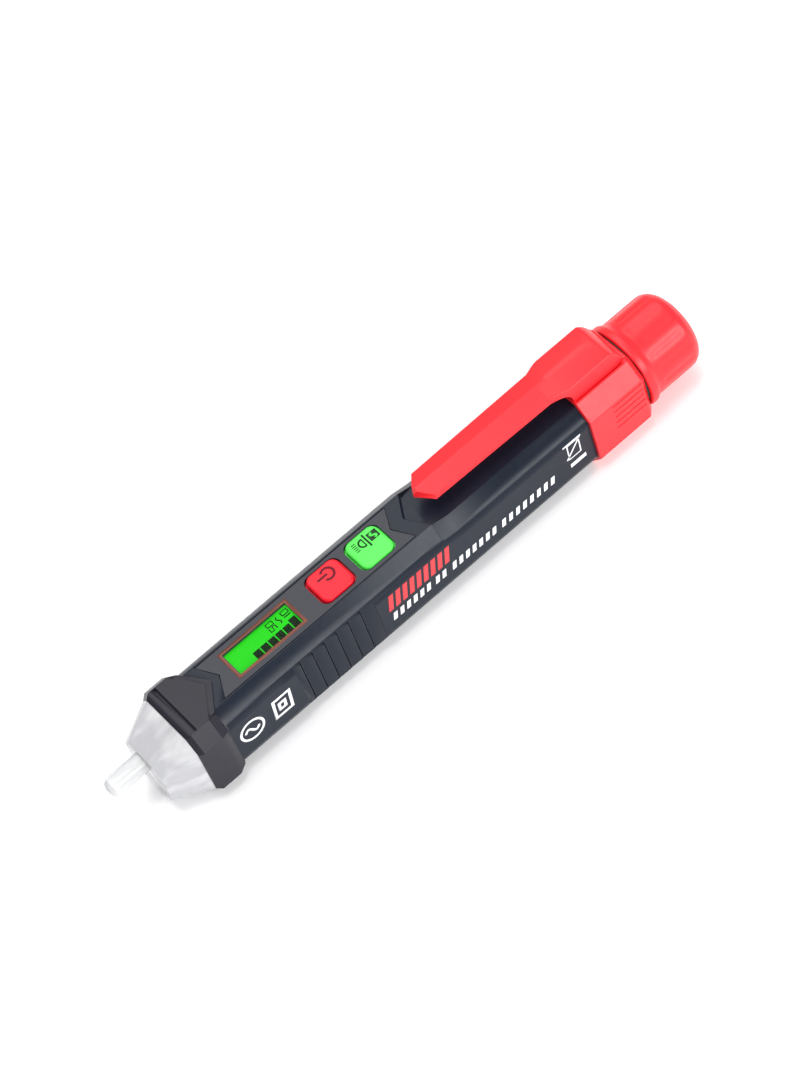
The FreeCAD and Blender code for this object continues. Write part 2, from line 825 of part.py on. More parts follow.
def make_carrier():
    """Inner moulding: board tray in front, cell tunnel behind a bulkhead."""
    body = new_body("Carrier")
    half = cavity_half_width - carrier_gap
    floor = cavity_half_height - carrier_gap
    x_end = x_seam - 1.5
    pad(body, "YZ_Plane", x_carrier, x_end - x_carrier, [
        (half, board_underside - fit_gap - 1.3), (half, -(floor - cavity_bevel_rear)),
        (half - cavity_bevel_rear, -floor), (-(half - cavity_bevel_rear), -floor),
        (-half, -(floor - cavity_bevel_rear)), (-half, board_underside - fit_gap - 1.3),
        (-(half - 1.3), board_underside - fit_gap), (half - 1.3, board_underside - fit_gap),
    ])
    tray_half = screw_offset - 1.2
    pocket(body, "XY_Plane", -(floor - 1.4), floor + board_underside, rectangle(
        x_pocket, x_bulkhead, -(half - 1.5), half - 1.5,
    ))
    notch = box(x_carrier - 1.0, x_pocket + 1.0, -tray_half, tray_half,
                -(floor - 1.4), board_underside + 1.0)
    x_tunnel = x_cell - fit_gap - contact_thickness - fit_gap
    tunnel = along_x(tunnel_radius, x_tunnel, x_end + 1.0)
    channel = box(x_bulkhead - 1.0, x_end + 1.0, -(strip_half_width + 0.2),
                  strip_half_width + 0.2, -(spigot_bore_radius - 0.1), -(cell_radius - 0.5))
    slot = box(x_tunnel, x_tunnel + contact_thickness + 0.3, -1.8, 1.8, 3.0, board_underside + 1.0)
    holes = [upright(screw_radius, board_top - screw_length - 0.5, board_underside + 1.0, x, y)
             for x, y in screw_places()]
    node("inner_carrier", cut(body, notch, tunnel, channel, slot, *holes))


def make_cells():
    for number, label in enumerate(("battery_front", "battery_rear")):
        start = x_cell + (cell_length + fit_gap / 2) * number
        body = new_body("Cell")
        shoulder = start + cell_nub_length
        end = start + cell_length
        turned(body, "Revolution", [
            (start, 0), (start, cell_nub_radius), (shoulder, cell_nub_radius),
            (shoulder, cell_radius - 0.35), (shoulder + 0.35, cell_radius),
            (end - 0.35, cell_radius), (end, cell_radius - 0.35), (end, 0),
        ])
        node(label, body)


def make_contacts():
    plate_x = x_cell - fit_gap - contact_thickness
    plate = box(plate_x, plate_x + contact_thickness, -3.6, 3.6, -3.6, 3.6)
    tab = box(plate_x, plate_x + contact_thickness, -1.5, 1.5, 3.5, board_underside - fit_gap)
    node("front_contact", fuse(plate, tab))
    low = -(spigot_bore_radius - 0.3)
    run = box(x_bulkhead - 0.6, x_spigot_end + strip_thickness, -strip_half_width,
              strip_half_width, low, low + strip_thickness)
    rise = box(x_bulkhead - 0.6, x_bulkhead - 0.3, -strip_half_width, strip_half_width,
               low, board_underside - fit_gap)
    tail = box(x_spigot_end + fit_gap / 2, x_spigot_end + strip_thickness, -strip_half_width,
               strip_half_width, -(spigot_radius - 0.4), low + strip_thickness)
    node("return_strip", fuse(run, rise, tail))
    disc = along_x(spigot_radius - 0.4, x_disc, x_disc + 0.5)
    node("contact_disc", group(disc))


def make_spring():
    """Coil between the rear cell and the contact disc."""
    length = x_disc - x_spring - spring_wire_radius * 2
    helix = doc.addObject("Part::Helix", "SpringLine")
    bind(helix, "Pitch", length / spring_coils)
    bind(helix, "Height", length)
    bind(helix, "Radius", spring_radius)
    wire = doc.addObject("Part::Circle", "SpringWire")
    wire.Placement = Placement(Vector(), Rotation(Vector(1, 0, 0), 90))
    bind(wire, "Radius", spring_wire_radius)
    bind(wire, "Placement.Base.x", spring_radius)
    coil = doc.addObject("Part::Sweep", "SpringCoil")
    coil.Sections = [wire]
    coil.Spine = (helix, [])
    coil.Solid = True
    coil.Frenet = True
    coil.Placement = Placement(Vector(), ALONG_X)
    bind(coil, "Placement.Base.x", x_spring + spring_wire_radius)
    node("battery_spring", coil)


# ------------------------------------------------------- clip collar and clip

def clip_profile(y0, y1, points):
    """A side profile, drawn along the pen and padded across it."""
    body = new_body("SideProfile")
    pad(body, "XZ_Plane", -Size.of(y1), Size.of(y1) - y0, points)
    return body


def roof_section(half_width, x0, x1, low):
    """The clip's roof-shaped section, padded along the pen."""
    body = new_body("RoofSection")
    pad(body, "YZ_Plane", x0, Size.of(x1) - x0, [
        (-half_width, low), (half_width, low), (half_width, clip_edge), (0, clip_ridge),
        (-half_width, clip_edge),
    ])
    return body


def make_clip_collar():
    ring = new_body("ClipRing")
    section = octagon(
        clip_collar_half_width, clip_collar_top, clip_collar_bevel_width,
        clip_collar_bevel_height, bottom=axis_height, foot_bevel_z=clip_collar_bevel_height + 0.8,
    )
    inset = clip_collar_chamfer * 0.8
    tail_section = octagon(
        clip_collar_half_width - inset, clip_collar_top - inset, clip_collar_bevel_width,
        clip_collar_bevel_height, bottom=axis_height - inset,
        foot_bevel_z=clip_collar_bevel_height + 0.8,
    )
    loft(ring, "Additive", [
        (x_clip_collar, section), (x_seam - clip_collar_chamfer, section), (x_seam, tail_section),
    ])
    block_end = x_clip_collar + clip_block_length
    low = clip_collar_top - 0.3
    profile = clip_profile(-clip_block_half_width, clip_block_half_width, [
        (x_hinge - clip_knuckle_radius * 0.3, clip_underside),
        (x_clip_collar - 0.9, clip_underside - 0.4), (x_clip_collar - 0.1, clip_underside - 1.3),
        (x_clip_collar + 0.2, low), (x_seam - 0.9, low), (block_end + 1.9, low + 1.2),
        (block_end + 0.2, clip_underside + 0.9), (block_end - 2.2, clip_ridge + 0.5),
        (x_hinge - clip_knuckle_radius * 0.3, clip_ridge + 0.5),
    ])
    plan = new_body("BlockPlan")
    wide = clip_block_half_width
    pad(plan, "XY_Plane", low - 1.0, clip_ridge - low + 3.0, [
        (x_hinge - 1.0, -clip_root_half_width), (x_clip_collar - 1.2, -(clip_root_half_width + 0.2)),
        (x_clip_collar + 0.3, -wide), (block_end - 0.5, -wide), (x_seam, -(wide - 0.6)),
        (x_seam, wide - 0.6), (block_end - 0.5, wide), (x_clip_collar + 0.3, wide),
        (x_clip_collar - 1.2, clip_root_half_width + 0.2), (x_hinge - 1.0, clip_root_half_width),
    ])
    roof = roof_section(clip_block_half_width, x_hinge - 2.0, x_seam, low - 0.5)
    block = common(profile, plan, roof)
    knuckle_seat = cylinder(clip_knuckle_radius + running_gap, clip_block_half_width * 2 + 2.0,
                            x_hinge, clip_block_half_width + 1.0, hinge_z, ACROSS)
    above_seat = box(x_hinge - 2.0, x_hinge + 0.25, -wide - 1.0, wide + 1.0,
                     hinge_z, clip_ridge + 1.0)
    body = fuse(ring, block)
    bore = new_body("CollarBore")
    pad(bore, "YZ_Plane", x_clip_collar - 1.0, clip_collar_length + 2.0, neck_section(fit_gap))
    lines = []
    for side in (-1, 1):
        for number in range(5):
            level = 6.5 - 1.5 * number
            across = mirrored(clip_collar_half_width - 0.3, clip_collar_half_width + 1.0, side)
            lines.append(box(x_clip_collar + 6.4, x_seam - clip_collar_chamfer + 0.3, *across,
                             level - 0.7, level))
    node("clip_collar", cut(body, bore, knuckle_seat, above_seat, *lines))


def make_pocket_clip():
    """Sprung arm with a chevron point, a roof-shaped back and a bump underneath."""
    flat_end = x_hinge
    point = x_clip_tip + clip_point
    bump_start = x_clip_tip + 2.6
    bump_end = bump_start + 10.0
    plan = new_body("ArmPlan")
    pad(plan, "XY_Plane", clip_underside - 3.0, 10.0, [
        (x_clip_tip, 0), (point, -clip_tip_half_width), (flat_end, -clip_root_half_width),
        (flat_end, clip_root_half_width), (point, clip_tip_half_width),
    ])
    profile = clip_profile(-clip_root_half_width, clip_root_half_width, [
        (x_clip_tip, clip_underside), (bump_start, clip_underside),
        (bump_start + 2.5, clip_underside - clip_bump),
        (bump_end - 2.5, clip_underside - clip_bump), (bump_end, clip_underside),
        (flat_end, clip_underside), (flat_end, clip_ridge + 0.5),
        (x_clip_tip + 1.1, clip_ridge + 0.5), (x_clip_tip, clip_edge - 0.4),
    ])
    roof = roof_section(clip_root_half_width, x_clip_tip, flat_end, clip_underside - 2.0)
    barrel = cylinder(clip_knuckle_radius, clip_root_half_width * 2, x_hinge,
                      clip_root_half_width, hinge_z, ACROSS)
    barrel_roof = roof_section(clip_root_half_width, flat_end - 2.0, flat_end + 2.0,
                               clip_underside - 2.0)
    node("pocket_clip", fuse(common(plan, profile, roof), common(barrel, barrel_roof)))


# ------------------------------------------------------------------ screw cap

def make_cap():
    body = new_body("Cap")
    flange_end = x_cap + cap_flange_length
    dome = x_tail - cap_end_rounding
    bore_end = x_disc + 0.5 + running_gap
    thread_radius = spigot_radius + running_gap
    seal_end = x_cap + cap_seal_bore_depth
    turned(body, "Revolution", [
        (x_cap, cap_seal_bore_radius), (x_cap, cap_flange_radius - 0.5),
        (x_cap + 0.5, cap_flange_radius), (flange_end - 1.2, cap_flange_radius),
        (flange_end, cap_radius), (dome, cap_radius),
        (dome + cap_end_rounding * 0.38, cap_radius * 0.932),
        (dome + cap_end_rounding * 0.70, cap_radius * 0.76),
        (dome + cap_end_rounding * 0.92, cap_radius * 0.45),
        (x_tail, 0), (bore_end, 0), (bore_end, thread_radius),
        (seal_end, thread_radius), (seal_end, cap_seal_bore_radius),
    ])
    doc.recompute()
    before = body.Shape.Volume
    flute = body.newObject("Sketcher::SketchObject", "FluteCircle")
    flute.AttachmentSupport = [(origin_plane(body, "YZ_Plane"), "")]
    flute.MapMode = "FlatFace"
    bind(flute, ".AttachmentOffset.Base.z", flange_end + 2.2)
    middle = cap_radius + flute_radius - flute_depth
    flute.addGeometry(Part.Circle(Vector(middle.value, 0, 0), Vector(0, 0, 1), flute_radius.value))
    radius_held = flute.addConstraint(Sketcher.Constraint("Radius", 0, flute_radius.value))
    flute.setExpression(f"Constraints[{radius_held}]", flute_radius.text)
    flute.addConstraint(Sketcher.Constraint("PointOnObject", 0, 3, -1))
    place_held = flute.addConstraint(Sketcher.Constraint("DistanceX", -1, 1, 0, 3, middle.value))
    flute.setExpression(f"Constraints[{place_held}]", middle.text)
    groove = body.newObject("PartDesign::Pocket", "Flute")
    groove.Profile = flute
    groove.Reversed = True
    bind(groove, "Length", cap_length)
    pattern = body.newObject("PartDesign::PolarPattern", "Flutes")
    pattern.Originals = [groove]
    pattern.Axis = (flute, ["N_Axis"])
    pattern.Angle = 360
    bind(pattern, "Occurrences", flute_count)
    body.Tip = pattern
    doc.recompute()
    if not body.Shape.Volume < before:
        raise RuntimeError("the cap's flutes cut nothing")
    node("tail_cap", body)


def make_seal():
    """O-ring in the seam between the clip collar and the cap."""
    ring = doc.addObject("Part::Torus", "SealRing")
    ring.Placement = Placement(Vector(), ALONG_X)
    bind(ring, "Radius1", spigot_radius + seal_wire_radius + fit_gap)
    bind(ring, "Radius2", seal_wire_radius)
    bind(ring, "Placement.Base.x", x_seam + seal_wire_radius + fit_gap)
    node("seal_ring", group(ring))


# ---------------------------------------------------------------- build and save

make_housing()
make_nose_collar()
make_nose_cone()
make_nib()
make_antenna()
make_lamps()
make_face_panel()
make_display()
for place, name in enumerate(("power", "mode")):
    make_button(name + "_button", place)
    make_switch(name + "_switch", place)
make_board()
make_components()
make_carrier()
make_cells()
make_contacts()
make_spring()
make_clip_collar()
make_pocket_clip()
make_cap()
make_seal()

doc.recompute()
faults = [thing.Name for thing in doc.Objects
          if "Invalid" in thing.State or "Error" in thing.State]
if faults:
    raise RuntimeError("failed objects: " + ", ".join(faults))
for piece in nodes:
    if piece.Shape.isNull() or not piece.Shape.isValid() or not piece.Shape.Solids:
        raise RuntimeError("bad shape: " + piece.Label)
for piece in nodes:
    piece.Shape.exportStep(f"parts/{piece.Label}.step")
print(len(nodes), "pieces written")
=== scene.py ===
"""Looks of a pen-shaped non contact voltage tester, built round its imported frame."""

import logging
import math
from dataclasses import dataclass
from enum import Enum
from typing import Any, Callable, Optional, Sequence, Union

import bmesh
import bpy
from mathutils import Matrix, Vector


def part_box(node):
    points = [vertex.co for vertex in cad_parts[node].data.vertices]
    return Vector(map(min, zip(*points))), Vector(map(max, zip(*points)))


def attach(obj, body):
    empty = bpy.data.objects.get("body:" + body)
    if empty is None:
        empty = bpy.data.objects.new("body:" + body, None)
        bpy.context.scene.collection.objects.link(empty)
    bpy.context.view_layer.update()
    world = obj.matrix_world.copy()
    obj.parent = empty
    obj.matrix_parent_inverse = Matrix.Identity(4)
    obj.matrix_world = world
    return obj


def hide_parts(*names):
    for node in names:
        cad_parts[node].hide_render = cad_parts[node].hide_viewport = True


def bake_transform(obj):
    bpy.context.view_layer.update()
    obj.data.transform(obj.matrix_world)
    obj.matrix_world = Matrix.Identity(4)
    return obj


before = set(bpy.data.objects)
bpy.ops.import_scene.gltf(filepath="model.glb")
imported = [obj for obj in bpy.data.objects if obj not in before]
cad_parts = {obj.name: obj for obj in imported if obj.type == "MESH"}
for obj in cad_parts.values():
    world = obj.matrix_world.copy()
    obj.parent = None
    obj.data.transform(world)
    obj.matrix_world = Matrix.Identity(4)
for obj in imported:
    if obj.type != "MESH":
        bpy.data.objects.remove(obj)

LOG = logging.getLogger("tester")
MM = 0.001
CAP_LOW, CAP_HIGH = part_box("tail_cap")
AXIS_HEIGHT = (CAP_LOW.z + CAP_HIGH.z) / 2 / MM
CELL_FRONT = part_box("battery_front")[0].x / MM
HOUSING_SIDE = 9.0
PRINT_THICKNESS = 0.03
FLAT_ANGLE = math.radians(0.5)
WELD = 2e-6

Piece = bpy.types.Object
Colour = tuple[float, float, float]
Flat = tuple[float, float]
Sizes = tuple[float, float, float]
Value = Union["Wire", float, tuple]


class Body(Enum):
    """Moving bodies of the frame."""

    PEN = "pen_body"
    POWER_KEY = "power_key"
    MODE_KEY = "mode_key"
    CLIP = "clip_arm"
    CAP = "screw_cap"


class Across(Enum):
    """The direction a flat outline is raised along."""

    Y = 1
    Z = 2


class Cut(Enum):
    """How two solids are combined."""

    JOIN = "UNION"
    TAKE = "DIFFERENCE"


# ---- node graphs


class Wire:
    """A node's output socket, which adds Math nodes when it is used in a sum."""

    def __init__(self, graph: "Graph", socket: bpy.types.NodeSocket) -> None:
        """Wraps one output socket of a graph."""
        self.graph = graph
        self.socket = socket

    def __add__(self, other: Value) -> "Wire":
        """self + other."""
        return self.graph.math("ADD", self, other)

    def __sub__(self, other: Value) -> "Wire":
        """self - other."""
        return self.graph.math("SUBTRACT", self, other)

    def __mul__(self, other: Value) -> "Wire":
        """self * other."""
        return self.graph.math("MULTIPLY", self, other)

    def __truediv__(self, other: Value) -> "Wire":
        """self / other."""
        return self.graph.math("DIVIDE", self, other)

    def __pow__(self, other: Value) -> "Wire":
        """self to a power."""
        return self.graph.math("POWER", self, other)

    def above(self, limit: float) -> "Wire":
        """1 where the value is over a limit, else 0."""
        return self.graph.math("GREATER_THAN", self, limit)


class Graph:
    """A node tree that is written as Python expressions."""

    def __init__(self, tree: bpy.types.NodeTree) -> None:
        """Takes a tree and empties it."""
        self.tree = tree
        tree.nodes.clear()

    def node(self, kind: str, settings: Optional[dict[str, Any]] = None,
             sockets: Optional[dict[Any, Value]] = None, out: Union[int, str] = 0) -> Wire:
        """Adds a node.

        Args:
            kind: The node's type name.
            settings: Properties to set first, such as a Math node's operation.
            sockets: Input names or numbers with their values or wires.
            out: Name or number of the output to return.

        Returns:
            The chosen output.
        """
        made = self.tree.nodes.new(kind)
        for name, value in (settings or {}).items():
            setattr(made, name, value)
        for key, value in (sockets or {}).items():
            socket = made.inputs[key]
            if isinstance(value, Wire):
                self.tree.links.new(value.socket, socket)
            else:
                socket.default_value = value
        return Wire(self, made.outputs[out] if made.outputs else None)

    def math(self, operation: str, *values: Value) -> Wire:
        """Adds one Math node on one or two values."""
        return self.node("ShaderNodeMath", {"operation": operation}, dict(enumerate(values)))

    def part(self, vector: Wire, axis: str) -> Wire:
        """One coordinate of a vector."""
        return self.node("ShaderNodeSeparateXYZ", {}, {"Vector": vector}, axis)

    def drawn_out(self, where: Wire, share: float) -> Wire:
        """A place squeezed along X, which stretches a pattern along the pen."""
        return self.node("ShaderNodeMapping", {}, {"Vector": where, "Scale": (share, 1.0, 1.0)})

    def noise(self, where: Wire, scale: float, detail: float = 3.0) -> Wire:
        """Smooth noise from 0 to 1 over a place; scale is in features per metre."""
        return self.node("ShaderNodeTexNoise", {}, {
            "Vector": where, "Scale": scale, "Detail": detail, "Roughness": 0.55,
        })

    def blend(self, share: Value, first: Value, second: Value) -> Wire:
        """Mixes two colours by a share from 0 to 1."""
        return self.node("ShaderNodeMix", {"data_type": "RGBA"}, {0: share, 6: first, 7: second}, 2)


# ---- finishes


@dataclass(frozen=True)
class Finish:
    """A surface: its name, its record slot and what all surfaces share."""

    name: str
    slot: str
    colour: Colour
    roughness: float = 0.4
    mottle: float = 0.12
    mottle_scale: float = 260.0
    grain: float = 0.12
    grain_scale: float = 5200.0
    metallic: float = 0.0
    specular: float = 0.5
    coat: float = 0.0
    transmission: float = 0.0
    ior: float = 1.5
    alpha: float = 1.0
    glow: float = 0.0
    depth: float = 0.04

    def material(self) -> bpy.types.Material:
        """Returns the finish's material, made once."""
        found = bpy.data.materials.get(self.name)
        return found or self._make()

    def _make(self) -> bpy.types.Material:
        """Builds the material from its pattern, roughness and relief."""
        made = bpy.data.materials.new(self.name)
        made.use_nodes = True
        made.diffuse_color = (*self.colour, 1.0)
        graph = Graph(made.node_tree)
        where = graph.node("ShaderNodeTexCoord", {}, {}, "Object")
        colour = self.pattern(graph, where)
        sockets: dict[Any, Value] = {
            "Base Color": colour,
            "Roughness": self.sheen(graph, where),
            "Normal": self.relief(graph, where),
            "Metallic": self.metallic,
            "Specular IOR Level": self.specular,
            "Coat Weight": self.coat,
            "Coat Roughness": 0.12,
            "Transmission Weight": self.transmission,
            "IOR": self.ior,
            "Alpha": self.alpha,
        }
        if self.glow:
            sockets["Emission Color"] = colour
            sockets["Emission Strength"] = self.glow
        shader = graph.node("ShaderNodeBsdfPrincipled", {}, sockets)
        graph.node("ShaderNodeOutputMaterial", {}, {"Surface": shader})
        return made

    def pattern(self, graph: Graph, where: Wire) -> Wire:
        """Base colour with a soft uneven tone."""
        tone = graph.noise(where, self.mottle_scale)
        low = tuple(part * (1 - self.mottle) for part in self.colour)
        high = tuple(min(part * (1 + self.mottle), 1.0) for part in self.colour)
        return graph.blend(tone, (*low, 1.0), (*high, 1.0))

    def sheen(self, graph: Graph, where: Wire) -> Wire:
        """Roughness that wanders a little to both sides of its value."""
        finer, spread = 3.1, 0.14
        return graph.noise(where, self.mottle_scale * finer) * spread + (self.roughness - spread / 2)

    def relief(self, graph: Graph, where: Wire) -> Wire:
        """Fine moulded grain."""
        return graph.node("ShaderNodeBump", {}, {
            "Height": graph.noise(where, self.grain_scale, 2.0), "Strength": self.grain,
            "Distance": self.depth * MM,
        })


@dataclass(frozen=True)
class Drawn(Finish):
    """Metal with fine lines along the pen."""

    metallic: float = 1.0
    grain: float = 0.25
    depth: float = 0.03
    stretch: float = 0.04

    def relief(self, graph: Graph, where: Wire) -> Wire:
        """Lines drawn out along the pen."""
        return super().relief(graph, graph.drawn_out(where, self.stretch))


@dataclass(frozen=True)
class Worn(Finish):
    """Moulded plastic with faint scuffs where fingers hold it."""

    scuff: Colour = (0.16, 0.165, 0.18)

    def pattern(self, graph: Graph, where: Wire) -> Wire:
        """Base tone with sparse pale scuffs."""
        patch = graph.noise(where, 95.0, 5.0).above(0.64)
        line = graph.noise(where, 1500.0, 4.0).above(0.62)
        return graph.blend(patch * line * 0.05, super().pattern(graph, where), (*self.scuff, 1.0))


@dataclass(frozen=True)
class Laminate(Finish):
    """Circuit board: solder mask over paler copper tracks."""

    track: Colour = (0.10, 0.42, 0.16)

    def pattern(self, graph: Graph, where: Wire) -> Wire:
        """Tracks in the mask colour's lighter tone."""
        base = super().pattern(graph, where)
        weave = graph.node("ShaderNodeTexBrick", {}, {
            "Vector": where, "Scale": 240.0, "Mortar Size": 0.05,
        }, "Fac")
        return graph.blend(weave * 0.7, base, (*self.track, 1.0))


@dataclass(frozen=True)
class Jacket(Finish):
    """Printed sleeve of a cell: two plain bands of colour."""

    band: Colour = (0.75, 0.55, 0.12)
    period: float = 44.6

    def pattern(self, graph: Graph, where: Wire) -> Wire:
        """A gold band on the last part of each cell."""
        along = (graph.part(where, "X") / MM - CELL_FRONT) / self.period
        band = graph.math("FRACT", along).above(0.72)
        return graph.blend(band, super().pattern(graph, where), (*self.band, 1.0))


@dataclass(frozen=True)
class ClearWithPaintedStreaks(Finish):
    """Clear plastic with long soft pale streaks painted into its colour: painted reflections."""

    painted_streak: Colour = (0.86, 0.86, 0.88)

    def pattern(self, graph: Graph, where: Wire) -> Wire:
        """Pale streaks drawn out along the pen over a greyer ground: painted reflections."""
        # The pale share of the colour stands for reflections: painted highlights in long streaks.
        share = graph.node("ShaderNodeMapRange", {"clamp": True}, {
            "Value": graph.noise(graph.drawn_out(where, 0.25), 210.0, 2.0),
            "From Min": 0.42, "From Max": 0.66,
        })
        return graph.blend(share, super().pattern(graph, where), (*self.painted_streak, 1.0))


@dataclass(frozen=True)
class LampPair(Finish):
    """Two signal lamps: one lens green, the other red."""

    other: Colour = (0.10, 0.75, 0.25)

    def pattern(self, graph: Graph, where: Wire) -> Wire:
        """The lamp on the near side has the other colour."""
        left = graph.part(where, "Y").above(0.0)
        return graph.blend(left, (*self.other, 1.0), super().pattern(graph, where))


DARK = Worn("dark_housing_plastic", "body_plastic", (0.006, 0.010, 0.019), 0.31, specular=0.20)
COLLAR = Worn("dark_collar_plastic", "collar_plastic", (0.013, 0.012, 0.019), 0.33, specular=0.23)
PANEL = Finish("dark_panel_plastic", "panel_plastic", (0.025, 0.027, 0.036), 0.42, grain=0.08,
               specular=0.30)
# The nose cone's pale streaks are painted reflections.
CLEAR = ClearWithPaintedStreaks("clear_nose_plastic", "clear_plastic", (0.60, 0.60, 0.625), 0.22, 0.07, 330.0,
                grain=0.05, transmission=0.36, ior=1.45)
MILKY = Finish("milky_nib_plastic", "milky_plastic", (0.80, 0.81, 0.82), 0.22, 0.05,
               grain=0.05, transmission=0.5, ior=1.44)
WINDOW = Finish("clear_window_plastic", "window_plastic", (0.05, 0.20, 0.05), 0.12, 0.02,
                grain=0.0, specular=0.3, alpha=0.04)
RED = Finish("red_clip_plastic", "red_plastic", (0.80, 0.016, 0.024), 0.38, 0.06, grain=0.10,
             specular=0.35)
RED_KEY = Finish("red_key_rubber", "red_plastic", (0.66, 0.005, 0.018), 0.45, 0.05, grain=0.14,
                 specular=0.28)
GREEN_KEY = Finish("green_key_rubber", "green_plastic", (0.08, 0.74, 0.08), 0.45, 0.05, grain=0.14,
                   specular=0.28)
LCD = Finish("lit_display", "lcd_cell", (0.006, 0.38, 0.001), 0.5, 0.05, 120.0, 0.0, specular=0.1,
             glow=0.55)
SEGMENT = Finish("display_segment", "lcd_cell", (0.001, 0.003, 0.001), 0.6, 0.1, grain=0.0,
                 specular=0.05)
# Warm band round the display window: painted glow of the backlight at the window's edge, laid as a flat
# band.
PAINTED_GLOW_RIM = Finish("painted_window_glow", "panel_plastic", (0.16, 0.050, 0.034), 0.45, 0.12, grain=0.05,
                specular=0.3)
WHITE_INK = Finish("white_print", "body_plastic", (0.82, 0.83, 0.86), 0.45, 0.05, grain=0.05)
RED_INK = Finish("red_print", "red_plastic", (0.60, 0.020, 0.028), 0.42, 0.06, grain=0.05)
DARK_INK = Finish("dark_print", "red_plastic", (0.13, 0.004, 0.014), 0.5, 0.08, grain=0.05,
                  specular=0.2)
GREEN_INK = Finish("dark_green_print", "green_plastic", (0.006, 0.035, 0.008), 0.5, 0.08,
                   grain=0.05, specular=0.2)
FLOOR = Finish("pale_floor", "body_plastic", (0.90, 0.90, 0.905), 0.8, 0.01, 8.0, 0.0, specular=0.1)

CARRIED_NODES: dict[Finish, tuple[str, ...]] = {
    Drawn("antenna_brass", "rod_brass", (0.36, 0.33, 0.27), 0.40): ("antenna_rod",),
    Drawn("spring_wire", "spring_steel", (0.62, 0.62, 0.63), 0.28): ("battery_spring",),
    Drawn("plated_steel", "plated_steel", (0.70, 0.70, 0.67), 0.3): (
        "lcd_frame", "front_contact", "return_strip", "contact_disc", "board_screws",
    ),
    Finish("carrier_plastic", "carrier_plastic", (0.68, 0.68, 0.65), 0.5): ("inner_carrier",),
    Finish("light_guide", "light_guide", (0.88, 0.92, 0.84), 0.5, 0.04): ("lcd_backlight",),
    Finish("conductive_strip", "zebra_rubber", (0.30, 0.14, 0.17), 0.7, 0.2, 3000.0): ("lcd_connectors",),
    Finish("display_cell", "lcd_cell", (0.02, 0.30, 0.01), 0.3, 0.05, 120.0, 0.0): ("lcd_glass",),
    Finish("switch_body", "switch_plastic", (0.035, 0.035, 0.04), 0.5): ("power_switch", "mode_switch"),
    Finish("plunger_plastic", "plunger_plastic", (0.80, 0.79, 0.74), 0.45): (
        "power_switch_plunger", "mode_switch_plunger",
    ),
    Laminate("board_mask", "board_laminate", (0.02, 0.17, 0.06), 0.35): ("circuit_board",),
    Finish("chip_package", "chip_plastic", (0.022, 0.022, 0.025), 0.5): (
        "control_chip", "sense_amplifier", "buzzer",
    ),
    Finish("ceramic_body", "ceramic_chips", (0.36, 0.27, 0.17), 0.5): ("chip_components",),
    LampPair("signal_lens", "lamp_lens", (0.85, 0.10, 0.12), 0.15, 0.03, grain=0.0, transmission=0.3,
             ior=1.45): ("signal_leds",),
    Finish("lamp_lens", "lamp_lens", (0.93, 0.93, 0.88), 0.12, 0.03, grain=0.0, transmission=0.6,
           ior=1.45): ("torch_led",),
    Jacket("cell_sleeve", "cell_jacket", (0.05, 0.07, 0.12), 0.3, coat=0.3): (
        "battery_front", "battery_rear",
    ),
    Finish("seal_rubber", "seal_rubber", (0.02, 0.02, 0.02), 0.6): ("seal_ring",),
}


# ---- mesh workshop


def at(x: float, y: float, z: float) -> Vector:
    """A place in metres from millimetres about the pen's axis."""
    return Vector((x, y, z + AXIS_HEIGHT)) * MM


def new_object(name: str, data: bpy.types.ID) -> Piece:
    """Puts a mesh, a camera or a light into the scene under a name."""
    made = bpy.data.objects.new(name, data)
    bpy.context.scene.collection.objects.link(made)
    return made


def object_from(name: str, bm: bmesh.types.BMesh) -> Piece:
    """Turns a bmesh into an object and frees it."""
    mesh = bpy.data.meshes.new(name)
    bm.to_mesh(mesh)
    bm.free()
    return new_object(name, mesh)


def heal(bm: bmesh.types.BMesh, weld: float) -> None:
    """Welds corners that are nearly one and makes flat faces whole."""
    bmesh.ops.remove_doubles(bm, verts=bm.verts, dist=weld)
    bmesh.ops.dissolve_limit(bm, angle_limit=FLAT_ANGLE, verts=bm.verts, edges=bm.edges)


def copy_of(node: str) -> Piece:
    """A welded copy of a frame node, its flat faces made whole."""
    bm = bmesh.new()
    bm.from_mesh(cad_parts[node].data)
    heal(bm, WELD)
    for layer in list(bm.loops.layers.uv):
        bm.loops.layers.uv.remove(layer)
    return object_from(node, bm)


def skinned(rings: Sequence[Sequence[Vector]]) -> Piece:
    """A closed solid through rings that have as many corners each."""
    bm = bmesh.new()
    made = [[bm.verts.new(corner) for corner in ring] for ring in rings]
    bm.faces.new(made[0])
    bm.faces.new(made[-1])
    for near, far in zip(made, made[1:]):
        for index in range(len(near)):
            following = (index + 1) % len(near)
            bm.faces.new((near[index], near[following], far[following], far[index]))
    bmesh.ops.recalc_face_normals(bm, faces=bm.faces)
    return object_from("solid", bm)


def loft(sections: Sequence[tuple[float, Sequence[Flat]]]) -> Piece:
    """A solid with straight walls through (x, outline) sections across the pen."""
    return skinned([[at(x, y, z) for y, z in outline] for x, outline in sections])


def prism(outline: Sequence[Flat], across: Across, low: float, high: float) -> Piece:
    """Raises a flat outline into a solid.

    Args:
        outline: Corners, as the two coordinates that across leaves, in axis order.
        across: The direction it is raised along.
        low: Where it starts.
        high: Where it ends.

    Returns:
        A closed solid with its faces outwards.
    """
    def corner(first: float, second: float, level: float) -> Vector:
        """One corner in the frame's own axes."""
        parts = [first, second]
        parts.insert(across.value, level)
        return at(*parts)

    return skinned([[corner(a, b, level) for a, b in outline] for level in (low, high)])


def settle(obj: Piece) -> Piece:
    """Applies every modifier of an object."""
    bpy.context.view_layer.update()
    graph = bpy.context.evaluated_depsgraph_get()
    mesh = bpy.data.meshes.new_from_object(obj.evaluated_get(graph))
    obj.modifiers.clear()
    obj.data = mesh
    return obj


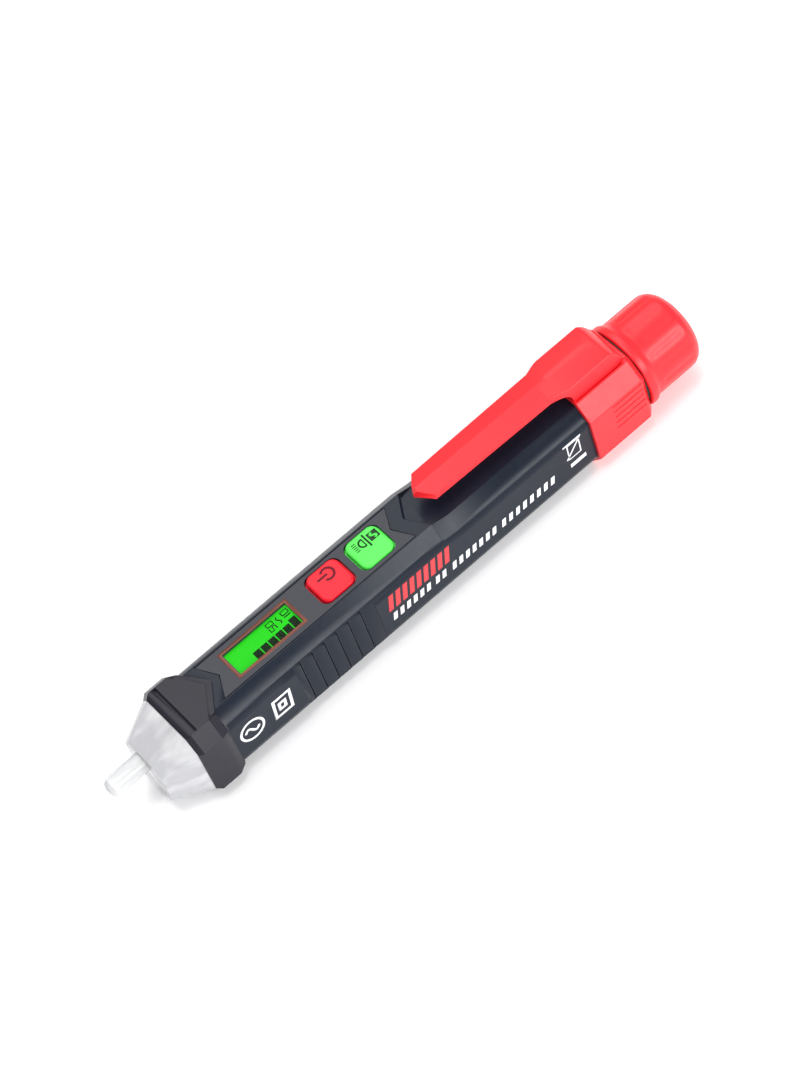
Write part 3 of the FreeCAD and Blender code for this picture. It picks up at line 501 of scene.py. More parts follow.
def combine(base: Piece, tool: Piece, how: Cut) -> Piece:
    """Combines a solid with a tool, which is used up."""
    step = base.modifiers.new("combine", "BOOLEAN")
    step.operation = how.value
    step.solver = "EXACT"
    step.object = tool
    settle(base)
    bpy.data.objects.remove(tool)
    return base


@dataclass(frozen=True)
class Softening:
    """One pass of edge rounding: how wide, how smooth, and which edges.

    where is given the middle of an edge in millimetres about the axis."""

    width: float
    segments: int = 3
    sharpest: float = 22.0
    where: Callable[[Vector], bool] = lambda place: True


def mark_edges(bm: bmesh.types.BMesh, passes: Sequence[Softening]) -> dict[Any, int]:
    """Each edge of a mesh with the number of the first pass that takes it, or -1."""
    marks = {}
    for edge in bm.edges:
        marks[edge] = -1
        if len(edge.link_faces) != 2:
            continue
        turn = math.degrees(edge.calc_face_angle(0.0))
        middle = (edge.verts[0].co + edge.verts[1].co) / 2 / MM
        middle.z -= AXIS_HEIGHT
        for number, work in enumerate(passes):
            if turn > work.sharpest and work.where(middle):
                marks[edge] = number
                break
    return marks


def soften(obj: Piece, passes: Sequence[Softening]) -> Piece:
    """Rounds chosen edges of a solid in place, widest pass first, and shades it smoothly."""
    bm = bmesh.new()
    bm.from_mesh(obj.data)
    heal(bm, WELD / 2)
    marks = mark_edges(bm, passes)
    for number, work in enumerate(passes):
        chosen = [edge for edge in bm.edges if marks.get(edge) == number]
        if chosen:
            bmesh.ops.bevel(
                bm, geom=chosen, offset=work.width * MM, offset_type="OFFSET",
                segments=work.segments, profile=0.5, affect="EDGES", clamp_overlap=True,
                miter_outer="ARC", loop_slide=True,
            )
    bmesh.ops.dissolve_degenerate(bm, edges=bm.edges, dist=WELD)
    bm.to_mesh(obj.data)
    bm.free()
    shade(obj)
    return obj


def joined(parts: Sequence[Piece]) -> Piece:
    """Puts several shells into the first one's mesh."""
    bm = bmesh.new()
    for part in parts:
        bm.from_mesh(part.data)
    first = parts[0]
    bm.to_mesh(first.data)
    bm.free()
    for part in parts[1:]:
        bpy.data.objects.remove(part)
    shade(first)
    return first


def shade(obj: Piece, corner: float = 40.0) -> None:
    """Smooth shading that leaves real corners sharp and flats flat."""
    mesh = obj.data
    mesh.shade_smooth()
    mesh.set_sharp_from_angle(angle=math.radians(corner))
    weigh = obj.modifiers.new("flats", "WEIGHTED_NORMAL")
    weigh.keep_sharp = True
    weigh.weight = 60
    settle(obj)


def dress(obj: Piece, finish: Finish) -> None:
    """Gives a piece one material."""
    obj.data.materials.clear()
    obj.data.materials.append(finish.material())


def name_piece(obj: Piece, name: str) -> None:
    """Names a finished piece and reports it."""
    obj.name = name
    obj.data.name = name
    LOG.info("%s: %d faces", name, len(obj.data.polygons))


def show(obj: Piece, name: str, finish: Finish, body: Body = Body.PEN, node: str = "") -> None:
    """Names, dresses and mounts a finished piece.

    Args:
        obj: The piece, in place.
        name: Its name.
        finish: Its surface.
        body: What it moves with.
        node: The frame node that it stands for, if there is one.
    """
    name_piece(obj, name)
    dress(obj, finish)
    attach(obj, body.value)
    if node:
        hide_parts(node)


# ---- node recipes


class Recipe(Graph):
    """A geometry node tree with named inputs that ends as a plain mesh."""

    def __init__(self, name: str, sizes: dict[str, float]) -> None:
        """Opens a tree whose inputs are a base shape and the named sizes."""
        super().__init__(bpy.data.node_groups.new(name, "GeometryNodeTree"))
        sockets = self.tree.interface
        sockets.new_socket("Geometry", in_out="INPUT", socket_type="NodeSocketGeometry")
        for label, value in sizes.items():
            kind = "NodeSocketInt" if isinstance(value, int) else "NodeSocketFloat"
            sockets.new_socket(label, in_out="INPUT", socket_type=kind)
        sockets.new_socket("Geometry", in_out="OUTPUT", socket_type="NodeSocketGeometry")
        self.sizes = sizes
        self.given = self.tree.nodes.new("NodeGroupInput")

    def size(self, label: str) -> Wire:
        """A named input."""
        return Wire(self, self.given.outputs[label])

    def triple(self, x: Value, y: Value, z: Value) -> Wire:
        """A vector from three values."""
        return self.node("ShaderNodeCombineXYZ", {}, {"X": x, "Y": y, "Z": z})

    def close(self, shape: Wire, finish: Finish) -> None:
        """Ends the tree: real geometry in one finish."""
        whole = self.node("GeometryNodeRealizeInstances", {}, {"Geometry": shape})
        dressed = self.node("GeometryNodeSetMaterial", {}, {
            "Geometry": whole, "Material": finish.material(),
        })
        self.node("NodeGroupOutput", {}, {"Geometry": dressed})

    def cook(self, base: Piece) -> Piece:
        """Runs the tree on an object, sets its sizes first, and keeps only the mesh."""
        step = base.modifiers.new("recipe", "NODES")
        step.node_group = self.tree
        for item in self.tree.interface.items_tree:
            if item.in_out == "INPUT" and item.name in self.sizes:
                step[item.identifier] = self.sizes[item.name]
        return settle(base)


@dataclass(frozen=True)
class Row:
    """Equal small blocks at an even pitch; sizes in millimetres."""

    count: int
    pitch: Sizes
    block: Sizes
    slant: float = 0.0

    def make(self, name: str, finish: Finish, first: Vector) -> Piece:
        """Sets the blocks out from the middle of the first one.

        Args:
            name: Name of the tree and the object.
            finish: Surface of the blocks.
            first: Middle of the first block, in metres.

        Returns:
            All the blocks as one mesh.
        """
        sizes: dict[str, float] = {"Count": self.count, "Slant": self.slant}
        for label, values in (("Pitch", self.pitch), ("Block", self.block)):
            for axis, value in zip("XYZ", values):
                sizes[f"{label} {axis}"] = value * MM
        for axis, value in zip("XYZ", first):
            sizes[f"First {axis}"] = value
        tree = Recipe(name, sizes)

        def vector(label: str) -> Wire:
            """The three named inputs of a vector."""
            return tree.triple(*(tree.size(f"{label} {axis}") for axis in "XYZ"))

        line = tree.node("GeometryNodeMeshLine", {"mode": "OFFSET"}, {
            "Count": tree.size("Count"), "Start Location": vector("First"), "Offset": vector("Pitch"),
        })
        block = tree.node("GeometryNodeMeshCube", {}, {"Size": vector("Block")})
        height = tree.part(tree.node("GeometryNodeInputPosition"), "Z")
        leaning = tree.node("GeometryNodeSetPosition", {}, {
            "Geometry": block, "Offset": tree.triple(height * tree.size("Slant"), 0.0, 0.0),
        })
        tree.close(tree.node("GeometryNodeInstanceOnPoints", {}, {
            "Points": line, "Instance": leaning,
        }), finish)
        return tree.cook(new_object(name, bpy.data.meshes.new(name)))


Line = Sequence[Flat]
Place = Callable[[float, float, float], Vector]


@dataclass(frozen=True)
class Print:
    """Flat printed lines of one width that follow drawn paths.

    closed paths come back to their first point."""

    width: float
    paths: Sequence[Line] = ()
    closed: Sequence[Line] = ()

    def make(self, name: str, finish: Finish, place: Place) -> Piece:
        """Lays the lines on a surface.

        Args:
            name: Name of the tree and the object.
            finish: The ink.
            place: Turns the drawing's two coordinates and a height, in millimetres, into a place.

        Returns:
            The lines as one mesh.
        """
        bm = bmesh.new()
        for path, loops in [(p, False) for p in self.paths] + [(p, True) for p in self.closed]:
            dots = [bm.verts.new((u * MM, v * MM, 0.0)) for u, v in path]
            for near, far in zip(dots, dots[1:]):
                bm.edges.new((near, far))
            if loops:
                bm.edges.new((dots[-1], dots[0]))
        drawing = object_from(name, bm)
        tree = Recipe(name, {"Width": self.width * MM, "Thickness": PRINT_THICKNESS * MM})
        curve = tree.node("GeometryNodeMeshToCurve", {}, {"Mesh": tree.size("Geometry")})
        level = tree.node("GeometryNodeSetCurveNormal", {"mode": "Z_UP"}, {"Curve": curve})
        nib = tree.node("GeometryNodeCurvePrimitiveQuadrilateral", {}, {
            "Width": tree.size("Width"), "Height": tree.size("Thickness"),
        })
        tree.close(tree.node("GeometryNodeCurveToMesh", {}, {
            "Curve": level, "Profile Curve": nib, "Fill Caps": True,
        }), finish)
        tree.cook(drawing)
        for vertex in drawing.data.vertices:
            u, v, height = vertex.co / MM
            vertex.co = place(u, v, height)
        return drawing


def on_top(level: float) -> Place:
    """Places a drawing on a flat top at a height in millimetres above the axis."""
    return lambda u, v, height: at(u, v, level + height)


def on_near_side(u: float, v: float, height: float) -> Vector:
    """Places a drawing on the housing's near side: along the pen, and up."""
    return at(u, -HOUSING_SIDE - height, v)


def lay(shape: Union[Row, Print], name: str, finish: Finish, where: Union[Vector, Place],
        body: Body = Body.PEN) -> None:
    """Makes a row or a drawing at a place and mounts it."""
    show(shape.make(name, finish, where), name, finish, body)


def arc(middle: Flat, radius: float, start: float, end: float, steps: int = 24) -> list[Flat]:
    """Points on an arc, by angles in degrees."""
    turns = [math.radians(start + (end - start) * step / steps) for step in range(steps + 1)]
    return [(middle[0] + radius * math.cos(a), middle[1] + radius * math.sin(a)) for a in turns]


def wave(start: Flat, length: float, height: float, upright: bool = False) -> list[Flat]:
    """One period of a sine line, along the first or the second coordinate."""
    points = []
    for step in range(17):
        along, over = length * step / 16, height * math.sin(math.tau * step / 16)
        points.append((start[0] + over, start[1] + along) if upright
                      else (start[0] + along, start[1] + over))
    return points


def leaning_box(low: Flat, high: Flat, slant: float = 0.0) -> list[Flat]:
    """Corners of an upright box that leans along the first coordinate."""
    lean = slant * (high[1] - low[1])
    return [low, (high[0], low[1]), (high[0] + lean, high[1]), (low[0] + lean, high[1])]


def octagon(half_width: float, top: float, bottom: float, bevel: Flat, foot: Flat) -> list[Flat]:
    """Eight-sided section; bevel and foot are the upper and lower corner cuts."""
    upper = [(half_width - bevel[0], top), (half_width, top - bevel[1])]
    lower = [(half_width, -bottom + foot[1]), (half_width - foot[0], -bottom)]
    right = upper + lower
    return right + [(-y, z) for y, z in reversed(right)]


# ---- sub-assemblies


@dataclass(frozen=True)
class Softbox:
    """One rectangular area light; its place is from the pen's middle, in metres."""

    name: str
    place: Sizes
    size: Flat
    power: float

    def light(self, target: Vector) -> None:
        """Sets it up so that it faces the target."""
        data = bpy.data.lights.new(self.name, "AREA")
        data.shape = "RECTANGLE"
        data.size, data.size_y = self.size
        data.energy = self.power
        lamp = new_object(self.name, data)
        lamp.location = target + Vector(self.place)
        lamp.rotation_mode = "QUATERNION"
        lamp.rotation_quaternion = (-Vector(self.place)).to_track_quat("-Z", "Y")


@dataclass
class Studio:
    """Camera, floor and soft light."""

    elevation: float = 57.64
    turn: float = 12.21
    roll: float = 40.44
    distance: float = 700.1
    lens: float = 112.16
    aim: Sizes = (2.17, 1.42, 1.46)
    floor_reach: float = 3.0
    room_light: float = 0.50
    boxes: tuple[Softbox, ...] = (
        Softbox("front_box", (0.13, -0.52, 0.31), (0.66, 0.20), 4.2),
        Softbox("back_box", (0.08, 0.33, 0.56), (0.60, 0.42), 2.3),
        Softbox("top_box", (-0.05, -0.05, 0.80), (0.30, 0.30), 2.4),
    )

    def camera(self) -> None:
        """A long lens that looks down on the display side."""
        rise, turn, roll = (math.radians(a) for a in (self.elevation, self.turn, self.roll))
        level = Vector((0.0, -math.cos(rise), math.sin(rise)))
        back = math.cos(turn) * level - math.sin(turn) * Vector((1.0, 0.0, 0.0))
        right = Vector((0.0, math.sin(rise), math.cos(rise))).cross(back).normalized()
        up = back.cross(right)
        across = right * math.cos(roll) - up * math.sin(roll)
        along = right * math.sin(roll) + up * math.cos(roll)
        place = at(*self.aim) + back * self.distance * MM
        data = bpy.data.cameras.new("studio_camera")
        data.lens = self.lens
        data.sensor_width = 36.0
        data.clip_start = 0.05
        camera = new_object("studio_camera", data)
        basis = Matrix((across, along, back)).transposed().to_4x4()
        camera.matrix_world = Matrix.Translation(place) @ basis
        bpy.context.scene.camera = camera

    def floor(self) -> None:
        """A wide pale floor."""
        bm = bmesh.new()
        bmesh.ops.create_grid(bm, x_segments=1, y_segments=1, size=self.floor_reach)
        made = object_from("floor", bm)
        made.data.materials.append(FLOOR.material())

    def room(self) -> None:
        """An even white room."""
        world = bpy.data.worlds.new("white_room")
        world.use_nodes = True
        bpy.context.scene.world = world
        graph = Graph(world.node_tree)
        shader = graph.node("ShaderNodeBackground", {}, {
            "Color": (1.0, 1.0, 1.0, 1.0), "Strength": self.room_light,
        })
        graph.node("ShaderNodeOutputWorld", {}, {"Surface": shader})
        bpy.context.scene.view_settings.view_transform = "Standard"

    def build(self) -> None:
        """Sets up the whole studio."""
        self.camera()
        self.floor()
        for box in self.boxes:
            box.light(at(0.0, 0.0, 0.0))
        self.room()


@dataclass
class Nose:
    """Clear cone, sensing nib and the dark collar behind them."""

    cone_edge: float = 0.45
    collar_edge: float = 0.35
    fine_edge: float = 0.26

    def build(self) -> None:
        """Makes the three visible nose pieces."""
        cone = soften(copy_of("nose_cone"), [Softening(self.cone_edge, 4)])
        show(cone, "nose_cone_clear", CLEAR, node="nose_cone")
        nib = copy_of("sensor_nib")
        shade(nib)
        show(nib, "sensor_nib_clear", MILKY, node="sensor_nib")
        collar = soften(copy_of("nose_collar"), [
            Softening(self.collar_edge, where=lambda p: p.x < -53.4 and abs(p.y) + abs(p.z) > 12),
            Softening(self.fine_edge, where=lambda p: p.z > 10.0),
        ])
        show(collar, "nose_collar_moulding", COLLAR, node="nose_collar")


@dataclass
class Tube:
    """Eight-sided housing and the face panel set into its top."""

    side_corner: Flat = (HOUSING_SIDE, 6.78)
    rear_corner: Flat = (HOUSING_SIDE, 5.99)
    foot_corner: Flat = (HOUSING_SIDE, -6.78)
    front: float = -53.0
    rear: float = 45.8
    shoulder: float = 1.35
    top_edge: float = 0.4
    step_edge: float = 0.45
    panel_edge: float = 0.16
    ramp_start: float = 5.6
    ramp_end: float = 10.5
    grip_front: float = -33.1
    grip_pitch: float = 3.25
    grip_lines: int = 6
    grip_slot: Sizes = (0.34, 2.0, 14.8)
    grip_middle: float = 8.75
    grip_overlap: float = 0.03

    def round_corners(self, housing: Piece, stations: Sequence[tuple[float, Flat, Flat]]) -> None:
        """Planes one long corner of both sides round.

        Args:
            housing: The solid to cut.
            stations: Place along the pen, the corner across and up, and the unit direction of the
                bevel away from it, for positive y.
        """
        for side in (-1, 1):
            sections = []
            for x, corner, slope in stations:
                across, up = corner
                below = math.copysign(self.shoulder, up)
                start = (across, up - below)
                end = (across + slope[0] * self.shoulder, up + slope[1] * self.shoulder)
                curve = [tuple((1 - t) ** 2 * a + 2 * t * (1 - t) * b + t * t * c
                               for a, b, c in zip(start, corner, end))
                         for t in (step / 8 for step in range(9))]
                far = end[1] + math.copysign(2.0, up)
                outside = [(end[0] + 0.02, far), (across + 2.0, far), (across + 2.0, start[1])]
                sections.append((x, [(side * y, z) for y, z in curve + outside]))
            combine(housing, loft(sections), Cut.TAKE)

    def ramp(self) -> list[Piece]:
        """Wedges that run the front bevels down into the lower rear ones."""
        wedges = []
        for side in (-1, 1):
            foot = [(8.99, 5.6), (8.3, 5.6)]
            front = [(5.56, 9.0), (5.56, 10.37), (8.99, 6.78)] + foot
            rear = [(5.56, 9.0), (5.56, 9.17), (8.99, 5.98)] + foot
            wedges.append(loft([(x, [(side * y, z) for y, z in outline])
                                for x, outline in ((self.ramp_start, front), (self.ramp_end, rear))]))
        return wedges

    def build(self) -> None:
        """Makes the housing and the panel."""
        housing = copy_of("housing")
        for wedge in self.ramp():
            combine(housing, wedge, Cut.JOIN)
        front, rear, foot = (-0.692, 0.722), (-0.734, 0.679), (-0.692, -0.722)
        self.round_corners(housing, [
            (self.front, self.side_corner, front), (5.8, self.side_corner, front),
            (self.ramp_end, self.rear_corner, rear), (self.rear, self.rear_corner, rear),
        ])
        self.round_corners(housing, [(x, self.foot_corner, foot) for x in (self.front, self.rear)])
        slots = Row(self.grip_lines, (self.grip_pitch, 0.0, 0.0), self.grip_slot)
        start = self.grip_front - self.grip_slot[0] / 2 + self.grip_overlap
        for side in (-1, 1):
            first = at(start, side * self.grip_middle, 0.0)
            combine(housing, slots.make("grip_slots", DARK, first), Cut.TAKE)
        soften(housing, [
            Softening(self.top_edge, where=self.is_top_edge),
            Softening(self.step_edge, where=self.is_step_edge),
        ])
        show(housing, "housing_tube", DARK, node="housing")
        panel = soften(copy_of("face_panel"), [
            Softening(self.panel_edge, 2, where=lambda p: p.z > 10.0),
        ])
        show(panel, "face_panel_plate", PANEL, node="face_panel")

    @staticmethod
    def is_top_edge(place: Vector) -> bool:
        """Long corners beside the flat top."""
        return abs(abs(place.y) - 5.55) < 0.08 and abs(place.z) > 8.9 and place.x < 44.0

    @staticmethod
    def is_step_edge(place: Vector) -> bool:
        """Edges of the step between the two top levels."""
        return 1.5 < place.x < 8.0 and place.z > 8.5 and abs(place.y) < 5.5


@dataclass
class Marks:
    """Printed signs and bands on the near side."""

    ring_ink: float = 0.62
    square_ink: float = 1.0
    box_ink: float = 0.42
    slant: float = 0.22
    lean: float = 0.10
    white_bands: tuple[tuple[float, int, float], ...] = (
        (-10.2, 6, 1.84), (1.5, 2, 1.84), (6.2, 7, 1.86), (20.1, 8, 1.97),
    )

    def bars(self, count: int, pitch: float, size: Flat) -> Row:
        """Leaning bars in a row; size is a bar's length along the pen and its height."""
        return Row(count, (pitch, 0.0, 0.0), (size[0], PRINT_THICKNESS, size[1]), self.slant)

    def build(self) -> None:
        """Prints the near side: two signs, a slanted red band, fine white bands and a box sign."""
        ring = Print(self.ring_ink, [wave((-50.4, 0.65), 3.6, 0.85)],
                     [arc((-48.6, 0.65), 2.9, 0.0, 350.0, 35)])
        lay(ring, "ring_sign", WHITE_INK, on_near_side)
        squares = Print(self.square_ink, (), [
            leaning_box((-42.9, -2.3), (-38.6, 3.3), self.lean),
            leaning_box((-41.4, -0.5), (-39.9, 1.5), self.lean),
        ])
        lay(squares, "square_sign", WHITE_INK, on_near_side)
        lay(self.bars(9, 1.93, (1.22, 4.9)), "red_band", RED_INK, at(-10.1, -HOUSING_SIDE, 3.0))
        for number, (start, count, pitch) in enumerate(self.white_bands, 1):
            lay(self.bars(count, pitch, (1.0, 2.3)), f"white_band_{number}", WHITE_INK,
                at(start, -HOUSING_SIDE, -1.9))
        box = Print(self.box_ink, [[(38.3, 5.0), (43.3, 5.0)], [(38.6, 0.2), (42.9, 4.7)]],
                    [leaning_box((39.2, 0.0), (42.4, 4.6), 0.04)])
        lay(box, "box_sign", WHITE_INK, on_near_side)
        bar = Row(1, (1.0, 0.0, 0.0), (4.3, PRINT_THICKNESS, 1.15))
        lay(bar, "bar_sign", WHITE_INK, at(41.2, -HOUSING_SIDE, -2.3))


@dataclass
class ClipEnd:
    """Red collar, its block and the pocket clip: one moulding."""

    edge: float = 0.30
    roof_edge: float = 0.75
    ridge: float = 2.6
    bump_half: float = 2.7
    ring_start: float = 45.9
    ring_end: float = 61.5
    collar_top: float = 10.5
    collar_foot: float = 11.35
    collar_half: float = 9.9
    rear_inset: float = 0.88
    rear_chamfer: float = 1.1
    lines: int = 5
    line_pitch: float = 1.85
    line_cut: Sizes = (8.2, 0.26, 0.40)
    line_first: Flat = (56.1, 6.0)
    seam_depth: float = 0.45
    bend_start: float = 33.0
    bend_end: float = 45.6
    flare: tuple[tuple[float, float, float], ...] = (
        (40.4, 4.20, 13.95), (41.4, 4.29, 13.87), (42.4, 4.50, 13.87), (43.5, 4.86, 13.85),
        (44.6, 5.25, 13.70), (45.4, 5.44, 13.15), (45.9, 5.50, 12.30), (46.25, 5.50, 10.20),
        (57.6, 5.50, 10.20), (60.9, 5.10, 10.20),
    )
    roof: Flat = (15.28, 16.53)
    heel: tuple[Flat, ...] = (
        (52.6, 16.60), (53.8, 16.53), (55.0, 16.33), (56.1, 15.98), (57.1, 15.47), (58.0, 14.80),
        (58.8, 13.95), (59.5, 12.90), (60.05, 11.80), (60.45, 10.55), (63.0, 10.55), (63.0, 18.0),
        (52.6, 18.0),
    )

    def root(self) -> Piece:
        """The block on the collar and the flare that runs out of it into the arm."""
        eaves, top = self.roof
        sections = []
        for x, wide, low in self.flare:
            drop = 0.06 if x < 41.0 else 0.0
            sections.append((x, [(-wide, low), (wide, low), (wide, eaves - drop),
                                 (0.0, top - drop), (-wide, eaves - drop)]))
        root = combine(loft(sections), prism(self.heel, Across.Y, -8.0, 8.0), Cut.TAKE)
        return soften(root, [
            Softening(self.ridge, 4, 15.0, lambda p: abs(p.y) < 0.3 and p.z > 15.5 and p.x < 53.5),
            Softening(self.roof_edge, 4, 40.0,
                      lambda p: abs(p.y) > 3.8 and (p.z > 14.9 or p.x > 56.0 and p.z > 10.9)),
        ])

    def collar(self) -> Piece:
        """The eight-sided ring round the housing, with shallow grip lines on its sides."""
        bevel, foot, inset = (3.7, 3.85), (3.7, 4.65), self.rear_inset
        half, top, bottom = self.collar_half, self.collar_top, self.collar_foot
        section = octagon(half, top, bottom, bevel, foot)
        rear = octagon(half - inset, top - inset, bottom - inset, bevel, foot)
        ring = loft([(self.ring_start, section), (self.ring_end - self.rear_chamfer, section),
                     (self.ring_end, rear)])
        neck = octagon(8.70, 9.35, 10.08, (3.45, 3.63), (3.45, 3.6))
        bore = loft([(self.ring_start - 0.9, neck), (self.ring_end + 1.0, neck)])
        combine(ring, bore, Cut.TAKE)
        soften(ring, [Softening(self.edge, 3, 22.0, self.is_outer_edge)])
        lines = Row(self.lines, (0.0, 0.0, -self.line_pitch), self.line_cut)
        for side in (-1, 1):
            first = at(self.line_first[0], side * half, self.line_first[1])
            combine(ring, lines.make("collar_lines", RED, first), Cut.TAKE)
            seam = [(46.4, side * 5.3), (59.4, side * 5.3), (59.0, side * 5.86), (46.4, side * 5.86)]
            combine(ring, prism(seam, Across.Z, top - self.seam_depth, top + 1.5), Cut.TAKE)
        return ring

    @staticmethod
    def is_outer_edge(place: Vector) -> bool:
        """Outer corners of the collar."""
        return abs(place.y) > 9.4 or abs(place.z) > 10.3 or abs(place.y) + abs(place.z) > 15.5

    def build(self) -> None:
        """Joins the three shells into one moulding."""
        arm = copy_of("pocket_clip")
        for side in (-1, 1):
            trim = leaning_box((9.0, side * self.bump_half), (22.0, side * 6.0))
            combine(arm, prism(trim, Across.Z, 12.0, 13.86), Cut.TAKE)
        soften(arm, [
            Softening(self.ridge, 4, 15.0, lambda p: abs(p.y) < 0.3 and p.z > 15.5 and p.x > 9.0),
            Softening(self.roof_edge, 4, 40.0, lambda p: abs(p.y) > 3.8 and p.z > 14.9 and p.x > 12),
            Softening(0.2, 2, 25.0, lambda p: p.x < 42.0),
        ])
        moulding = joined([self.collar(), self.root(), arm])
        name_piece(moulding, "clip_moulding")
        dress(moulding, RED)
        start, end = (tuple(at(x, 0.0, 15.0)) for x in (self.bend_start, self.bend_end))
        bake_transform(moulding)
        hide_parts("clip_collar", "pocket_clip")


@dataclass
class ScrewCap:
    """Red screw cap: a turned cup with broad shallow flutes."""

    seam: float = 62.0
    radius: float = 9.5
    flange: float = 10.15
    flange_length: float = 2.8
    bore: float = 8.08
    seal_bore: float = 9.15
    seal_depth: float = 1.6
    floor: float = 72.2
    tail: float = 78.6
    flutes: int = 16
    depth: float = 0.16
    around: int = 193
    along: int = 170

    def profile(self) -> Piece:
        """Half the cup's section, from the tail round the rim to the bore's floor."""
        tail, rim, r, ring = self.tail, self.seam, self.radius, self.flange
        step = rim + self.flange_length
        outside = [(tail, 0.0), (tail - 0.12, r * 0.42), (tail - 0.50, r * 0.66),
                   (tail - 1.20, r * 0.82), (tail - 2.15, r * 0.93), (tail - 3.3, r * 0.99),
                   (tail - 4.4, r), (step + 0.2, r), (step - 0.5, r + 0.25), (step - 1.2, ring),
                   (rim + 0.5, ring), (rim + 0.1, ring - 0.15), (rim, ring - 0.5)]
        seat = rim + self.seal_depth
        inside = [(rim, self.seal_bore), (seat, self.seal_bore), (seat, self.bore),
                  (self.floor, self.bore), (self.floor, 0.0)]
        bm = bmesh.new()
        dots = [bm.verts.new(at(along, radius, 0.0)) for along, radius in outside + inside]
        for near, far in zip(dots, dots[1:]):
            bm.edges.new((near, far))
        return object_from("cap_profile", bm)

    def build(self) -> None:
        """Turns the profile round the axis and presses the flutes into it."""
        tree = Recipe("fluted_cap", {
            "Axis Height": AXIS_HEIGHT * MM, "Around": self.around, "Along": self.along,
            "Flutes": self.flutes, "Flute Depth": self.depth * MM,
            "Flute Start": (self.seam + self.flange_length + 0.6) * MM,
            "Flute End": (self.tail - 2.6) * MM,
        })
        curve = tree.node("GeometryNodeMeshToCurve", {}, {"Mesh": tree.size("Geometry")})
        sheet = tree.node("GeometryNodeMeshGrid", {}, {
            "Size X": 1.0, "Size Y": 1.0, "Vertices X": tree.size("Around"),
            "Vertices Y": tree.size("Along"),
        })
        flat = tree.node("GeometryNodeInputPosition")
        found = tree.node("GeometryNodeSampleCurve", {"mode": "FACTOR", "use_all_curves": True}, {
            "Curves": curve, "Factor": tree.part(flat, "Y") + 0.5,
        }, "Position")
        length, radius = tree.part(found, "X"), tree.part(found, "Y")
        angle = (tree.part(flat, "X") + 0.5) * math.tau

        def ease(label: str, run: float) -> Wire:
            """0 to 1 along the cap from a named place, over a run in millimetres."""
            return tree.node("ShaderNodeMapRange", {"interpolation_type": "SMOOTHSTEP"}, {
                "Value": length, "From Min": tree.size(label), "From Max": tree.size(label) + run * MM,
            })

        ripple = tree.math("COSINE", angle * tree.size("Flutes")) * 0.5 + 0.5
        outer = radius.above((self.radius - 0.5) * MM)
        depth = ripple ** 2.0 * ease("Flute Start", 1.6) * ease("Flute End", -2.2) * outer
        reach = radius - depth * tree.size("Flute Depth")
        turned = tree.node("GeometryNodeSetPosition", {}, {
            "Geometry": sheet, "Position": tree.triple(
                length, reach * tree.math("COSINE", angle),
                reach * tree.math("SINE", angle) + tree.size("Axis Height")),
        })
        tree.close(tree.node("GeometryNodeMergeByDistance", {}, {
            "Geometry": turned, "Distance": WELD,
        }), RED)
        cap = tree.cook(self.profile())
        bm = bmesh.new()
        bm.from_mesh(cap.data)
        bmesh.ops.dissolve_degenerate(bm, edges=bm.edges, dist=1e-7)
        bmesh.ops.recalc_face_normals(bm, faces=bm.faces)
        bm.to_mesh(cap.data)
        bm.free()
        shade(cap, 50.0)
        show(cap, "screw_cap_shell", RED, Body.CAP, "tail_cap")


@dataclass
class Keys:
    """Power key and mode key with their printed symbols."""

    edge: float = 0.62
    top: float = 11.03
    skirt: float = 9.3
    draw_in: Flat = (0.935, 0.965)
    power_ink: float = 0.55

    def build(self) -> None:
        """Makes both keys and prints them."""
        for node, finish, body in (
            ("power_button", RED_KEY, Body.POWER_KEY), ("mode_button", GREEN_KEY, Body.MODE_KEY),
        ):
            key = copy_of(node)
            self.slim(key, node)
            soften(key, [Softening(self.edge, 5, 30.0, lambda p: p.z > 10.9)])
            show(key, node + "_cap", finish, body, node)
        self.print_power()
        self.print_mode()

    def slim(self, key: Piece, node: str) -> None:
        """Draws the key's cap in a little, so that a dark gap shows round it."""
        low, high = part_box(node)
        middle = (low + high) / 2
        for vertex in key.data.vertices:
            if vertex.co.z > at(0.0, 0.0, self.skirt).z:
                vertex.co.x = middle.x + (vertex.co.x - middle.x) * self.draw_in[0]
                vertex.co.y = middle.y + (vertex.co.y - middle.y) * self.draw_in[1]

    def print_power(self) -> None:
        """An open ring with a bar through its gap."""
        ring = Print(self.power_ink, [arc((-16.5, 1.35), 1.45, 220.0, 500.0, 36),
                                      [(-19.2, 1.35), (-16.6, 1.35)]])
        lay(ring, "power_sign", DARK_INK, on_top(self.top), Body.POWER_KEY)

    def print_mode(self) -> None:
        """A lamp with its rays, a divider and a framed wave."""
        lamp = Print(0.44, [[(-5.77, -0.5), (-5.77, 3.2)]],
                     [[(-6.5, 0.4), (-6.5, 2.4)] + arc((-6.7, 1.4), 1.0, 90.0, 270.0, 12)])
        lay(lamp, "lamp_sign", GREEN_INK, on_top(self.top), Body.MODE_KEY)
        rays = Row(5, (0.0, 0.52, 0.0), (1.0, 0.24, PRINT_THICKNESS))
        lay(rays, "lamp_rays", GREEN_INK, at(-8.6, 0.5, self.top), Body.MODE_KEY)
        ground = prism(leaning_box((-5.2, 0.3), (-2.75, 2.5)), Across.Z,
                       self.top - 0.01, self.top + PRINT_THICKNESS / 2)
        show(ground, "wave_sign_ground", GREEN_INK, Body.MODE_KEY)
        curl = Print(0.42, [wave((-3.97, 0.62), 1.55, 0.62, True)])
        lay(curl, "wave_sign", GREEN_KEY, on_top(self.top + 0.02), Body.MODE_KEY)


